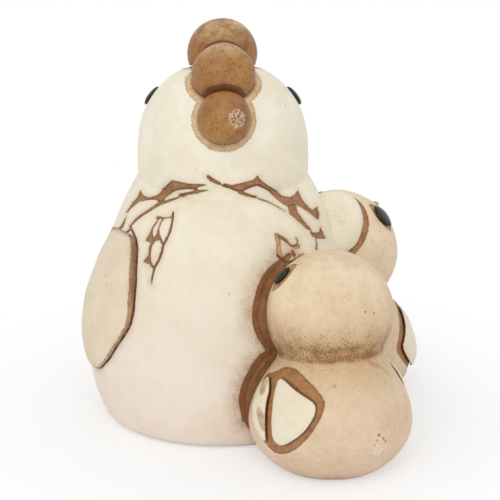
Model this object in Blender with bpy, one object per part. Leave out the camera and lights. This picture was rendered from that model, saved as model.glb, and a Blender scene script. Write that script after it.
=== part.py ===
"""Hen with two chicks, a hollow slip-cast figurine, as the castings and sprigs that are luted together.

Metres, +Z up. The hen faces -Y and her left side is +X. One chick nestles behind her right side and
looks up at her, the other stands under her raised right wing. All three feet stand on Z = 0, and the
finished group is centred over the origin.
Azimuths are in degrees, counter-clockwise from +X as seen from above.
"""

import bmesh
import bpy
from math import cos, pi, radians, sin
from mathutils import Matrix, Vector

MM = 0.001

# Hen casting: an egg-shaped body with a domed head leaning a little forward
HEN_BODY_HALF_WIDTH = 37.2 * MM
HEN_BODY_HALF_DEPTH = 34.0 * MM
HEN_BODY_UPPER_HEIGHT = 44.0 * MM
HEN_BODY_LOWER_HEIGHT = 38.0 * MM
HEN_BODY_CENTRE_Y = 7.0 * MM
HEN_BODY_CENTRE_Z = 22.0 * MM
HEN_HEAD_HALF_WIDTH = 23.5 * MM
HEN_HEAD_HALF_DEPTH = 23.0 * MM
HEN_HEAD_HALF_HEIGHT = 25.5 * MM
HEN_HEAD_CENTRE_Y = -2.0 * MM
HEN_HEAD_CENTRE_Z = 71.0 * MM
HEN_FULLNESS = 2.3
HEN_NECK_BLEND = 20.0 * MM
HEN_FOOT_FILLET = 2.2 * MM
HEN_WALL = 4.0 * MM
HEN_VENT_RADIUS = 5.0 * MM

# Rump ridge up the hen's back
RUMP_SWELL = 2.0 * MM
RUMP_HALF_WIDTH = 16.0 * MM
RUMP_CENTRE_Z = 56.0 * MM
RUMP_HALF_HEIGHT = 17.0 * MM

# Comb: three balls in a row over the crown, each placed by its angle up from the nape
COMB_FRONT_RADIUS = 9.6 * MM
COMB_MIDDLE_RADIUS = 8.7 * MM
COMB_REAR_RADIUS = 7.2 * MM
COMB_FRONT_ANGLE = 98.5
COMB_MIDDLE_ANGLE = 68.5
COMB_REAR_ANGLE = 38.0
COMB_AZIMUTH = 91.5
COMB_RISE = 2.0 * MM

# Hen's face
HEN_EYE_RADIUS = 3.5 * MM
HEN_EYE_BULGE = 1.5 * MM
HEN_EYE_TURN = 75.0
HEN_EYE_ELEVATION = 36.5
HEN_BEAK_LENGTH = 8.5 * MM
HEN_BEAK_RADIUS = 4.6 * MM
HEN_BEAK_ELEVATION = 17.0
WATTLE_HALF_WIDTH = 3.2 * MM
WATTLE_HALF_DEPTH = 2.8 * MM
WATTLE_HALF_HEIGHT = 5.0 * MM
WATTLE_ELEVATION = -10.0

# Hen's folded left wing
HEN_WING_THICKNESS = 1.8 * MM
HEN_WING_HALF_LENGTH = 19.0 * MM
HEN_WING_HALF_WIDTH = 17.3 * MM
HEN_WING_TAPER = 0.12
HEN_WING_CENTRE_Y = 12.3 * MM
HEN_WING_CENTRE_Z = 37.0 * MM
HEN_WING_SWEEP = 20.0

# Hen's raised right wing, a lobe laid over the head of the front chick
RAISED_WING_HALF_LENGTH = 11.5 * MM
RAISED_WING_HALF_WIDTH = 9.0 * MM
RAISED_WING_HALF_THICKNESS = 5.0 * MM
RAISED_WING_PROUD = 2.2 * MM
RAISED_WING_AZIMUTH = 78.0
RAISED_WING_ELEVATION = 46.0

# Chick castings: a low pear of a body with sloping shoulders under a ball head, both chicks alike
CHICK_BODY_RADIUS = 22.0 * MM
CHICK_BODY_UPPER_HEIGHT = 25.5 * MM
CHICK_BODY_LOWER_HEIGHT = 15.8 * MM
CHICK_BODY_CENTRE_Z = 12.0 * MM
CHICK_SHOULDER_FULLNESS = 1.6
CHICK_HEAD_RADIUS = 17.0 * MM
CHICK_HEAD_CENTRE_Z = 41.4 * MM
CHICK_LEAN_DROP = 0.36
CHICK_NECK_BLEND = 3.0 * MM
CHICK_WALL = 3.0 * MM
CHICK_VENT_RADIUS = 3.2 * MM
CHICK_VENT_SHIFT = 8.5 * MM

# Chick faces, turns measured from the way the head faces
CHICK_EYE_RADIUS = 3.3 * MM
CHICK_EYE_BULGE = 1.3 * MM
CHICK_EYE_TURN = 64.0
CHICK_EYE_ELEVATION = 41.0
CHICK_BEAK_LENGTH = 4.6 * MM
CHICK_BEAK_RADIUS = 2.6 * MM

# Chick wings, low oval pads
CHICK_WING_THICKNESS = 1.4 * MM
CHICK_WING_HALF_LENGTH = 8.2 * MM
CHICK_WING_HALF_WIDTH = 12.6 * MM
CHICK_WING_TAPER = 0.12
CHICK_WING_CENTRE_Z = 18.8 * MM
CHICK_WING_TURN = 99.0

# Where the chicks stand round the hen, how far each axis clears her side at the height of its beak,
# which way they face, how high the beak points, and which way and how far the head leans off the body
REAR_CHICK_AZIMUTH = 127.6
REAR_CHICK_STANDOFF = 17.7 * MM
REAR_CHICK_FACING = -57.0
REAR_CHICK_BEAK_ELEVATION = 40.0
REAR_CHICK_LEAN_AZIMUTH = -86.0
REAR_CHICK_LEAN = 4.0 * MM
FRONT_CHICK_AZIMUTH = 201.3
FRONT_CHICK_STANDOFF = 2.9 * MM
FRONT_CHICK_FACING = 278.0
FRONT_CHICK_HEAD_FACING = 230.0
FRONT_CHICK_BEAK_ELEVATION = 27.0
FRONT_CHICK_LEAN_AZIMUTH = 270.0
FRONT_CHICK_LEAN = 1.0 * MM

# Shares of a beak's radius at its root and at its blunt tip
BEAK_ROOT_SHARE = 1.35
BEAK_TIP_SHARE = 0.22

# Joints, overruns of the cutters, and mesh fineness
LUTING_GAP = 0.3 * MM
FLOOR_OVERRUN = 1.0 * MM
VENT_DEPTH_IN_WALLS = 4.0
WING_OVERRUN_IN_THICKNESSES = 2.0
FILLET_TURNS = (30.0, 60.0, 90.0)
HEN_SEGMENTS = 44
HEN_RINGS = 24
HOLLOW_SEGMENTS = 26
HOLLOW_RINGS = 13
CHICK_SEGMENTS = 34
CHICK_RINGS = 21
CHICK_HOLLOW_SEGMENTS = 20
CHICK_HOLLOW_RINGS = 12
BALL_SEGMENTS = 22
BALL_RINGS = 12
BEAD_SEGMENTS = 16
BEAD_RINGS = 6
WING_POINTS = 28
VENT_SEGMENTS = 20


def clear_scene():
    for item in list(bpy.data.objects):
        bpy.data.objects.remove(item, do_unlink=True)


def new_collection(name):
    collection = bpy.data.collections.new(name)
    bpy.context.scene.collection.children.link(collection)
    return collection


clear_scene()
PARTS = new_collection("hen_with_chicks")
CUTTERS = new_collection("cutters")
GROUP_AXIS = bpy.data.objects.new("group_axis", None)
PARTS.objects.link(GROUP_AXIS)


def linear(level):
    """Linear light of one colour channel written as 0 to 255."""
    share = level / 255
    return share / 12.92 if share <= 0.04045 else ((share + 0.055) / 1.055) ** 2.4


def ceramic(name, red, green, blue, roughness):
    material = bpy.data.materials.new(name)
    material.use_nodes = True
    shader = material.node_tree.nodes["Principled BSDF"]
    shader.inputs["Base Color"].default_value = (linear(red), linear(green), linear(blue), 1.0)
    shader.inputs["Roughness"].default_value = roughness
    shader.inputs["Metallic"].default_value = 0.0
    return material


CREAM = ceramic("cream_ceramic", 236, 228, 205, 0.5)
WING_CREAM = ceramic("wing_ceramic", 224, 208, 182, 0.5)
CHICK_TAN = ceramic("chick_ceramic", 221, 199, 167, 0.5)
COMB_BROWN = ceramic("comb_ceramic", 173, 134, 94, 0.45)
EYE_BLACK = ceramic("eye_glaze", 42, 32, 25, 0.2)
BEAK_BROWN = ceramic("beak_ceramic", 186, 146, 100, 0.45)


def soft_max(first, second, blend):
    """The larger of two reaches, with the crease where they cross filled over the width blend."""
    nearness = max(blend - abs(first - second), 0.0)
    return max(first, second) + nearness * nearness / (4 * blend)


def dome(height, upper, lower, fullness=2.0):
    """Share of full radius left at a height over the centre of an egg with unlike half-heights.

    A fullness of 2 gives an ellipsoid, and more gives a blunter dome.
    """
    share = abs(height) / (upper if height > 0.0 else lower)
    return max(1.0 - share ** fullness, 0.0) ** (1.0 / fullness)


def bearing(azimuth, elevation=0.0):
    """Unit vector at an azimuth and elevation in degrees."""
    turn = radians(azimuth)
    lift = radians(elevation)
    return Vector((cos(lift) * cos(turn), cos(lift) * sin(turn), sin(lift)))


def link_part(name, mesh, material):
    mesh.materials.append(material)
    mesh.shade_smooth()
    part = bpy.data.objects.new(name, mesh)
    part.parent = GROUP_AXIS
    PARTS.objects.link(part)
    return part


def link_cutter(name, mesh):
    cutter = bpy.data.objects.new(name, mesh)
    cutter.parent = GROUP_AXIS
    cutter.hide_render = True
    cutter.display_type = "WIRE"
    CUTTERS.objects.link(cutter)
    return cutter


def mesh_from(shape, name):
    """Turn a bmesh into a mesh with its faces outward."""
    bmesh.ops.recalc_face_normals(shape, faces=shape.faces)
    mesh = bpy.data.meshes.new(name)
    shape.to_mesh(mesh)
    shape.free()
    return mesh


def boolean(part, cutter, operation="DIFFERENCE"):
    modifier = part.modifiers.new(cutter.name, "BOOLEAN")
    modifier.operation = operation
    modifier.solver = "EXACT"
    modifier.object = cutter


def hen_section(height, grow):
    """Half-width, back reach and front reach of the hen at a height, every radius larger by grow."""
    body = dome(height - HEN_BODY_CENTRE_Z, HEN_BODY_UPPER_HEIGHT + grow,
                HEN_BODY_LOWER_HEIGHT + grow, HEN_FULLNESS)
    head_height = HEN_HEAD_HALF_HEIGHT + grow
    head = dome(height - HEN_HEAD_CENTRE_Z, head_height, head_height, HEN_FULLNESS)
    body_depth = body * (HEN_BODY_HALF_DEPTH + grow)
    head_depth = head * (HEN_HEAD_HALF_DEPTH + grow)
    half_width = soft_max(
        body * (HEN_BODY_HALF_WIDTH + grow), head * (HEN_HEAD_HALF_WIDTH + grow), HEN_NECK_BLEND)
    back = soft_max(HEN_BODY_CENTRE_Y + body_depth, HEN_HEAD_CENTRE_Y + head_depth, HEN_NECK_BLEND)
    front = soft_max(body_depth - HEN_BODY_CENTRE_Y, head_depth - HEN_HEAD_CENTRE_Y, HEN_NECK_BLEND)
    return half_width, back, front


def rump(point):
    """How far the rump ridge lifts a point on the hen's back."""
    if point.y < HEN_BODY_CENTRE_Y:
        return 0.0
    across = max(1.0 - (point.x / RUMP_HALF_WIDTH) ** 2, 0.0)
    along = max(1.0 - ((point.z - RUMP_CENTRE_Z) / RUMP_HALF_HEIGHT) ** 2, 0.0)
    return RUMP_SWELL * across ** 2 * along ** 2


def loft(name, section, stations, segments, lift=None):
    """A closed form through elliptic rings, from stations of height and inset given from the crown down.

    The section says how wide each ring is and how far it reaches to the back, +Y, and to the front.
    """
    shape = bmesh.new()
    loops = []
    for height, inset in stations:
        half_width, back, front = section(height)
        ring = bmesh.ops.create_circle(shape, cap_ends=False, radius=1.0, segments=segments)["verts"]
        for vertex in ring:
            across = vertex.co.x * (half_width - inset)
            along = (back - front) / 2 + vertex.co.y * ((back + front) / 2 - inset)
            vertex.co = Vector((across, along, height))
            if lift:
                vertex.co.y += lift(vertex.co)
        loops.append({edge for vertex in ring for edge in vertex.link_edges})
    for upper, lower in zip(loops, loops[1:]):
        bmesh.ops.bridge_loops(shape, edges=list(upper | lower))
    bmesh.ops.holes_fill(shape, edges=[edge for edge in shape.edges if edge.is_boundary], sides=0)
    return mesh_from(shape, name)


def hen_mesh(name, grow, floor, foot_fillet=0.0, segments=HEN_SEGMENTS, rings=HEN_RINGS):
    """The hen's outer form, every radius larger by grow."""
    top = HEN_HEAD_CENTRE_Z + HEN_HEAD_HALF_HEIGHT + grow
    foot = floor + foot_fillet
    stations = []
    for step in range(1, rings + 1):
        stations.append((foot + (top - foot) * cos(pi / 2 * step / rings), 0.0))
    if foot_fillet > 0.0:
        for turn in FILLET_TURNS:
            lift = foot_fillet * (1.0 - sin(radians(turn)))
            stations.append((floor + lift, foot_fillet * (1.0 - cos(radians(turn)))))
    return loft(name, lambda height: hen_section(height, grow), stations, segments, rump)


def beside_hen(azimuth, standoff, beak_elevation):
    """The foot of a chick's axis, at a standoff from the hen's surface as it is at beak height."""
    height = CHICK_HEAD_CENTRE_Z + CHICK_HEAD_RADIUS * sin(radians(beak_elevation))
    half_width, back, front = hen_section(height, 0.0)
    out = bearing(azimuth)
    reach = 1.0 / Vector((out.x / half_width, 2 * out.y / (back + front))).length
    return Vector((0.0, (back - front) / 2, 0.0)) + out * (reach + standoff)


def chick_section(height, grow, lean):
    """Half-width, back reach and front reach of a chick at a height, every radius larger by grow."""
    fullness = CHICK_SHOULDER_FULLNESS if height > CHICK_BODY_CENTRE_Z else 2.0
    body = (CHICK_BODY_RADIUS + grow) * dome(
        height - CHICK_BODY_CENTRE_Z, CHICK_BODY_UPPER_HEIGHT + grow, CHICK_BODY_LOWER_HEIGHT + grow, fullness)
    head_radius = CHICK_HEAD_RADIUS + grow
    head = head_radius * dome(height - chick_head_height(lean), head_radius, head_radius)
    if body == 0.0:
        return head, head - lean, head + lean
    if head == 0.0:
        return body, body, body
    blend = CHICK_NECK_BLEND
    return soft_max(body, head, blend), soft_max(body, head - lean, blend), soft_max(body, head + lean, blend)


def chick_head_height(lean):
    """Height of a head's centre, which sinks a little as the head leans out."""
    return CHICK_HEAD_CENTRE_Z - CHICK_LEAN_DROP * lean


def chick_mesh(name, grow, floor, lean, segments=CHICK_SEGMENTS, rings=CHICK_RINGS):
    """A chick's outer form with its head leaning to -Y, every radius larger by grow."""
    top = chick_head_height(lean) + CHICK_HEAD_RADIUS + grow
    stations = []
    for step in range(1, rings):
        stations.append((floor + (top - floor) * (1.0 + cos(pi * step / rings)) / 2, 0.0))
    stations.append((floor, 0.0))
    return loft(name, lambda height: chick_section(height, grow, lean), stations, segments)


def stand_chick(item, base, lean_azimuth):
    """Stand one of a chick's forms on its foot, with the lean of its head along an azimuth."""
    item.location = base
    item.rotation_euler.z = radians(lean_azimuth + 90.0)


def vent_cutter(name, base, radius, wall):
    """A round hole up through a foot and into the hollow above it."""
    shape = bmesh.new()
    bmesh.ops.create_cone(shape, cap_ends=True, segments=VENT_SEGMENTS, radius1=radius, radius2=radius,
                          depth=VENT_DEPTH_IN_WALLS * wall)
    cutter = link_cutter(name, mesh_from(shape, name))
    cutter.location = base
    return cutter


def ball_mesh(name, radii, segments=BALL_SEGMENTS, rings=BALL_RINGS):
    shape = bmesh.new()
    bmesh.ops.create_uvsphere(shape, u_segments=segments, v_segments=rings, radius=1.0)
    bmesh.ops.scale(shape, vec=radii, verts=shape.verts)
    return mesh_from(shape, name)


def aim(part, place, direction, roll=0.0):
    """Stand a part at a place with its own +Z along a direction, then roll it about that direction."""
    part.location = place
    part.rotation_mode = "QUATERNION"
    part.rotation_quaternion = (
        direction.to_track_quat("Z", "Y") @ Matrix.Rotation(radians(roll), 3, "Z").to_quaternion())


def bead(name, place, direction, radius, bulge, material, seat):
    """A flattened bead of clay pressed onto a surface."""
    part = link_part(name, ball_mesh(name, (radius, radius, bulge), BEAD_SEGMENTS, BEAD_RINGS), material)
    aim(part, place, direction)
    boolean(part, seat)
    return part


def beak(name, place, direction, length, radius, seats):
    """A pinched cone of clay, rooted one radius deep."""
    shape = bmesh.new()
    bmesh.ops.create_cone(shape, cap_ends=True, segments=BEAD_SEGMENTS, radius1=BEAK_ROOT_SHARE * radius,
                          radius2=BEAK_TIP_SHARE * radius, depth=length + radius)
    part = link_part(name, mesh_from(shape, name), BEAK_BROWN)
    aim(part, place + direction * (length - radius) / 2, direction)
    for seat in seats:
        boolean(part, seat)
    return part


def wing_blank(name, half_length, half_width, taper, depth, material):
    """An oval pad outline, broad at the shoulder, with its tip down, pulled out along its own +Z."""
    shape = bmesh.new()
    outline = bmesh.ops.create_circle(shape, cap_ends=True, radius=1.0, segments=WING_POINTS)["verts"]
    for index, vertex in enumerate(outline):
        turn = 2 * pi * index / WING_POINTS
        vertex.co = Vector((half_width * sin(turn) * (1.0 + taper * cos(turn)), half_length * cos(turn), 0.0))
    pulled = bmesh.ops.extrude_face_region(shape, geom=shape.faces[:])["geom"]
    bmesh.ops.translate(shape, vec=(0.0, 0.0, depth),
                        verts=[item for item in pulled if isinstance(item, bmesh.types.BMVert)])
    return link_part(name, mesh_from(shape, name), material)


def build_hen():
    """The hollow hen, and the two larger copies of her form that neighbours are cut with."""
    seat = link_cutter("hen_seat", hen_mesh("hen_seat", LUTING_GAP, -FLOOR_OVERRUN))
    wing_form = link_cutter("hen_wing_form", hen_mesh("hen_wing_form", HEN_WING_THICKNESS, -FLOOR_OVERRUN))
    hollow = link_cutter("hen_hollow", hen_mesh(
        "hen_hollow", -HEN_WALL, HEN_WALL, segments=HOLLOW_SEGMENTS, rings=HOLLOW_RINGS))
    vent = vent_cutter("hen_vent", Vector((0.0, HEN_BODY_CENTRE_Y, 0.0)), HEN_VENT_RADIUS, HEN_WALL)
    shell = link_part("hen_shell", hen_mesh("hen_shell", 0.0, 0.0, HEN_FOOT_FILLET), CREAM)
    boolean(shell, hollow)
    boolean(shell, vent)
    return seat, wing_form


def head_surface(azimuth, elevation, rise=0.0):
    """A point on the hen's head, or a rise above it. Past 90 degrees the elevation goes on over the crown."""
    half_height = HEN_HEAD_HALF_HEIGHT + rise
    height = half_height * sin(radians(elevation))
    reach = dome(height, half_height, half_height, HEN_FULLNESS)
    if cos(radians(elevation)) < 0.0:
        reach = -reach
    around = bearing(azimuth)
    return Vector((around.x * reach * (HEN_HEAD_HALF_WIDTH + rise),
                   HEN_HEAD_CENTRE_Y + around.y * reach * (HEN_HEAD_HALF_DEPTH + rise),
                   HEN_HEAD_CENTRE_Z + height))


def build_comb(seat):
    """Three balls, the middle one whole and its neighbours cut to it."""
    places = {}
    for name, radius, angle in (
            ("comb_front", COMB_FRONT_RADIUS, COMB_FRONT_ANGLE),
            ("comb_middle", COMB_MIDDLE_RADIUS, COMB_MIDDLE_ANGLE),
            ("comb_rear", COMB_REAR_RADIUS, COMB_REAR_ANGLE)):
        places[name] = head_surface(COMB_AZIMUTH, angle, COMB_RISE)
        ball = link_part(name, ball_mesh(name, (radius, radius, radius)), COMB_BROWN)
        ball.location = places[name]
        boolean(ball, seat)
    reach = COMB_MIDDLE_RADIUS + LUTING_GAP
    neighbour = link_cutter("comb_neighbour", ball_mesh("comb_neighbour", (reach, reach, reach)))
    neighbour.location = places["comb_middle"]
    boolean(PARTS.objects["comb_front"], neighbour)
    boolean(PARTS.objects["comb_rear"], neighbour)


def build_hen_face(seat):
    for side, azimuth in (("left", -90.0 + HEN_EYE_TURN), ("right", -90.0 - HEN_EYE_TURN)):
        bead("hen_eye_" + side, head_surface(azimuth, HEN_EYE_ELEVATION), bearing(azimuth, HEN_EYE_ELEVATION),
             HEN_EYE_RADIUS, HEN_EYE_BULGE, EYE_BLACK, seat)
    beak("hen_beak", head_surface(-90.0, HEN_BEAK_ELEVATION), bearing(-90.0, HEN_BEAK_ELEVATION),
         HEN_BEAK_LENGTH, HEN_BEAK_RADIUS, [seat])
    chin = head_surface(-90.0, WATTLE_ELEVATION)
    for side, sign in (("left", 1.0), ("right", -1.0)):
        name = "hen_wattle_" + side
        radii = (WATTLE_HALF_WIDTH, WATTLE_HALF_DEPTH, WATTLE_HALF_HEIGHT)
        wattle = link_part(name, ball_mesh(name, radii, BEAD_SEGMENTS, BEAD_RINGS), COMB_BROWN)
        wattle.location = chin + Vector((sign * (WATTLE_HALF_WIDTH + LUTING_GAP / 2), 0.0, 0.0))
        boolean(wattle, seat)


def build_folded_wing(seat, wing_form):
    """The hen's left wing, a pad of even thickness over her side."""
    depth = HEN_BODY_HALF_WIDTH + WING_OVERRUN_IN_THICKNESSES * HEN_WING_THICKNESS
    wing = wing_blank("hen_wing_left", HEN_WING_HALF_LENGTH, HEN_WING_HALF_WIDTH, HEN_WING_TAPER, depth,
                      WING_CREAM)
    sideways = Matrix(((0.0, 0.0, 1.0), (1.0, 0.0, 0.0), (0.0, 1.0, 0.0)))
    sweep = Matrix.Rotation(radians(HEN_WING_SWEEP), 3, "X")
    wing.rotation_mode = "QUATERNION"
    wing.rotation_quaternion = (sweep @ sideways).to_quaternion()
    wing.location = (0.0, HEN_WING_CENTRE_Y, HEN_WING_CENTRE_Z)
    boolean(wing, wing_form, "INTERSECT")
    boolean(wing, seat)


def chick_head(base, lean_azimuth, lean):
    """The centre of a chick's head."""
    return base + bearing(lean_azimuth) * lean + Vector((0.0, 0.0, chick_head_height(lean)))


def build_raised_wing(seat, head, chick_seat):
    """The hen's right wing, a flat lobe that lies on the front chick's head and meets her shoulder."""
    out = bearing(RAISED_WING_AZIMUTH, RAISED_WING_ELEVATION)
    radii = (RAISED_WING_HALF_WIDTH, RAISED_WING_HALF_LENGTH, RAISED_WING_HALF_THICKNESS)
    wing = link_part("hen_wing_right", ball_mesh("hen_wing_right", radii), CREAM)
    reach = CHICK_HEAD_RADIUS + RAISED_WING_PROUD - RAISED_WING_HALF_THICKNESS
    aim(wing, head + out * reach, out)
    boolean(wing, chick_seat)
    boolean(wing, seat)


def build_chick(word, base, facing, head_facing, beak_elevation, lean_azimuth, lean, wing_sides, hen_seat):
    """One chick: its hollow casting, eyes, beak and wings. Returns the form its sprigs are seated on."""
    name = "chick_" + word
    seat = link_cutter(name + "_seat", chick_mesh(name + "_seat", LUTING_GAP, -FLOOR_OVERRUN, lean))
    wing_form = link_cutter(name + "_wing_form", chick_mesh(
        name + "_wing_form", CHICK_WING_THICKNESS, -FLOOR_OVERRUN, lean))
    hollow = link_cutter(name + "_hollow", chick_mesh(
        name + "_hollow", -CHICK_WALL, CHICK_WALL, lean, CHICK_HOLLOW_SEGMENTS, CHICK_HOLLOW_RINGS))
    shell = link_part(name + "_shell", chick_mesh(name + "_shell", 0.0, 0.0, lean), CHICK_TAN)
    for form in (seat, wing_form, hollow, shell):
        stand_chick(form, base, lean_azimuth)
    boolean(shell, hollow)
    boolean(shell, hen_seat)
    away = (base - Vector((0.0, HEN_BODY_CENTRE_Y, 0.0))).normalized()
    vent = vent_cutter(name + "_vent", base + away * CHICK_VENT_SHIFT, CHICK_VENT_RADIUS, CHICK_WALL)
    boolean(shell, vent)
    head = chick_head(base, lean_azimuth, lean)
    for side, sign in (("left", 1.0), ("right", -1.0)):
        out = bearing(head_facing + sign * CHICK_EYE_TURN, CHICK_EYE_ELEVATION)
        bead(name + "_eye_" + side, head + out * CHICK_HEAD_RADIUS, out, CHICK_EYE_RADIUS,
             CHICK_EYE_BULGE, EYE_BLACK, seat)
    out = bearing(head_facing, beak_elevation)
    beak(name + "_beak", head + out * CHICK_HEAD_RADIUS, out, CHICK_BEAK_LENGTH, CHICK_BEAK_RADIUS,
         [seat, hen_seat])
    depth = CHICK_BODY_RADIUS + WING_OVERRUN_IN_THICKNESSES * CHICK_WING_THICKNESS
    for side, sign in wing_sides:
        wing = wing_blank(name + "_wing_" + side, CHICK_WING_HALF_LENGTH, CHICK_WING_HALF_WIDTH,
                          CHICK_WING_TAPER, depth, WING_CREAM)
        out = bearing(facing + sign * CHICK_WING_TURN)
        across = Vector((0.0, 0.0, 1.0)).cross(out)
        upright = Matrix((across, (0.0, 0.0, 1.0), out)).transposed()
        wing.rotation_mode = "QUATERNION"
        wing.rotation_quaternion = upright.to_quaternion()
        wing.location = base + Vector((0.0, 0.0, CHICK_WING_CENTRE_Z))
        boolean(wing, wing_form, "INTERSECT")
        boolean(wing, seat)
        boolean(wing, hen_seat)
    return seat


def centre_on_floor():
    """Slide the whole group so that the middle of its footprint box lies over the origin."""
    bpy.context.view_layer.update()
    depsgraph = bpy.context.evaluated_depsgraph_get()
    corners = []
    for part in PARTS.objects:
        if part.type == "MESH":
            solid = part.evaluated_get(depsgraph)
            corners += [solid.matrix_world @ vertex.co for vertex in solid.data.vertices]
    for axis in (0, 1):
        places = [corner[axis] for corner in corners]
        GROUP_AXIS.location[axis] = -(min(places) + max(places)) / 2
    bpy.context.view_layer.update()


def main():
    hen_seat, hen_wing_form = build_hen()
    build_comb(hen_seat)
    build_hen_face(hen_seat)
    build_folded_wing(hen_seat, hen_wing_form)
    both = (("left", 1.0), ("right", -1.0))
    rear_base = beside_hen(REAR_CHICK_AZIMUTH, REAR_CHICK_STANDOFF, REAR_CHICK_BEAK_ELEVATION)
    front_base = beside_hen(FRONT_CHICK_AZIMUTH, FRONT_CHICK_STANDOFF, FRONT_CHICK_BEAK_ELEVATION)
    build_chick("rear", rear_base, REAR_CHICK_FACING, REAR_CHICK_FACING, REAR_CHICK_BEAK_ELEVATION,
                REAR_CHICK_LEAN_AZIMUTH, REAR_CHICK_LEAN, both, hen_seat)
    front_seat = build_chick("front", front_base, FRONT_CHICK_FACING, FRONT_CHICK_HEAD_FACING,
                             FRONT_CHICK_BEAK_ELEVATION, FRONT_CHICK_LEAN_AZIMUTH, FRONT_CHICK_LEAN,
                             both[1:], hen_seat)
    build_raised_wing(hen_seat, chick_head(front_base, FRONT_CHICK_LEAN_AZIMUTH, FRONT_CHICK_LEAN), front_seat)
    centre_on_floor()


main()
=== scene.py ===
"""The looks of the hen with chicks figurine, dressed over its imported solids.

Shapes are worked out in millimetres from the hen's own axis on the standing plane, and put down in metres.
The hen faces -Y and her left side is +X. The photograph looks at her back.
"""

from functools import partial
from math import cos, pi, radians, sin

import bmesh
import bpy
import numpy as np
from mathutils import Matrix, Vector


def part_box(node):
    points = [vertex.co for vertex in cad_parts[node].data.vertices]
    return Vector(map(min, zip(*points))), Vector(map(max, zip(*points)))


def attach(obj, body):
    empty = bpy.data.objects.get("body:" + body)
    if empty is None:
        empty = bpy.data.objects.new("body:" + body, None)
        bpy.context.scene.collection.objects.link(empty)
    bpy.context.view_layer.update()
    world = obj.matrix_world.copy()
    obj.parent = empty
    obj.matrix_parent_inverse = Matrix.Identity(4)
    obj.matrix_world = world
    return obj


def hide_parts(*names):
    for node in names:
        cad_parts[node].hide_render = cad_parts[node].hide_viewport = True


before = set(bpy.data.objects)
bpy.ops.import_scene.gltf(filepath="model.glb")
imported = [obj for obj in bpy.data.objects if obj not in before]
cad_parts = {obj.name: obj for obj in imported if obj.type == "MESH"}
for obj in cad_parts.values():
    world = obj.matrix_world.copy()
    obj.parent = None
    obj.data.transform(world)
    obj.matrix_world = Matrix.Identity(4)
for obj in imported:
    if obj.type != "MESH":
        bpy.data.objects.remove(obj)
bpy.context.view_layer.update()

# The hen's casting: one hollow slip-cast body and head of cream earthenware, with a vent hole in its foot.
# The collar, the two sprigs of feathers and the grooves beside her neighbours are scored in the wet clay,
# and brown antiquing wash is brushed over the lines and wiped off the high parts.
BODY_HALF_WIDTH = 37.2
BODY_HALF_DEPTH = 34.0
BODY_UPPER_HEIGHT = 44.0
BODY_LOWER_HEIGHT = 38.0
BODY_CENTRE_Y = 7.0
BODY_CENTRE_Z = 22.0
HEAD_HALF_WIDTH = 23.5
HEAD_HALF_DEPTH = 23.0
HEAD_HALF_HEIGHT = 25.5
HEAD_CENTRE_Y = -2.0
HEAD_CENTRE_Z = 71.0
HEN_FULLNESS = 2.3
NECK_BLEND = 20.0
FOOT_FILLET = 2.2
RUMP_SWELL = 2.0
RUMP_HALF_WIDTH = 16.0
RUMP_CENTRE_Z = 56.0
RUMP_HALF_HEIGHT = 17.0
HEN_VENT_RADIUS = 5.0
HEN_VENT_EDGE = 0.2
VENT_DEPTH = 6.0
# The mesh's rings: radii over the foot, and runs down the skin, closest where the lines are scored.
HEN_STEPS = 380
HEN_FOOT_RINGS = (30.0, 25.0, 19.0, 12.0, 7.5, 5.8, 5.1, 4.95, 4.8, 3.5, 0.0)
HEN_RING_RUNS = [(74.0, 16), (46.0, 106), (15.0, 50), (FOOT_FILLET, 16)]
CROWN_RING_SHARE = 0.4
CROWN_ANGLES = (0.05, 1.135)
CROWN_RINGS = 31
FILLET_RINGS = 6
BACK_CROWDING = 0.45
GROOVE_DEPTH = 0.55
GROOVE_EDGE = 0.5
GROOVE_MARGIN = 0.1
BRUSH_SPREAD = 0.18
UNDER_SKIN = 0.1
FAR = 6.0
MM = 0.001

# The axis stands in front of the middle of the hen's box, by as much as her body is set back from it.
shell_low, shell_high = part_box("hen_shell")
AXIS = np.array([(shell_low[0] + shell_high[0]) * 500.0,
                 (shell_low[1] + shell_high[1]) * 500.0 - BODY_CENTRE_Y, 0.0])


def soft_max(first, second, blend):
    """The larger of two reaches, with the crease where they cross filled over the width blend."""
    nearness = np.maximum(blend - np.abs(first - second), 0.0)
    return np.maximum(first, second) + nearness * nearness / (4 * blend)


def dome(height, upper, lower, fullness=2.0):
    """Share of full radius left at a height over the centre of an egg with unlike half-heights."""
    share = np.abs(height) / np.where(height > 0.0, upper, lower)
    return np.maximum(1.0 - share ** fullness, 0.0) ** (1.0 / fullness)


def hen_section(height, grow=0.0):
    """Half-width, half-depth and centre y of the hen's oval at a height, every radius larger by grow."""
    body = dome(height - BODY_CENTRE_Z, BODY_UPPER_HEIGHT + grow, BODY_LOWER_HEIGHT + grow, HEN_FULLNESS)
    head = dome(height - HEAD_CENTRE_Z, HEAD_HALF_HEIGHT + grow, HEAD_HALF_HEIGHT + grow, HEN_FULLNESS)
    body_depth = body * (BODY_HALF_DEPTH + grow)
    head_depth = head * (HEAD_HALF_DEPTH + grow)
    half_width = soft_max(body * (BODY_HALF_WIDTH + grow), head * (HEAD_HALF_WIDTH + grow), NECK_BLEND)
    back = soft_max(BODY_CENTRE_Y + body_depth, HEAD_CENTRE_Y + head_depth, NECK_BLEND)
    front = soft_max(body_depth - BODY_CENTRE_Y, head_depth - HEAD_CENTRE_Y, NECK_BLEND)
    return half_width, (back + front) / 2, (back - front) / 2


def rump(x, y, z):
    """How far the rump ridge lifts the hen's back."""
    across = np.maximum(1.0 - (x / RUMP_HALF_WIDTH) ** 2, 0.0)
    along = np.maximum(1.0 - ((z - RUMP_CENTRE_Z) / RUMP_HALF_HEIGHT) ** 2, 0.0)
    return np.where(y > BODY_CENTRE_Y, RUMP_SWELL * across ** 2 * along ** 2, 0.0)


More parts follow.
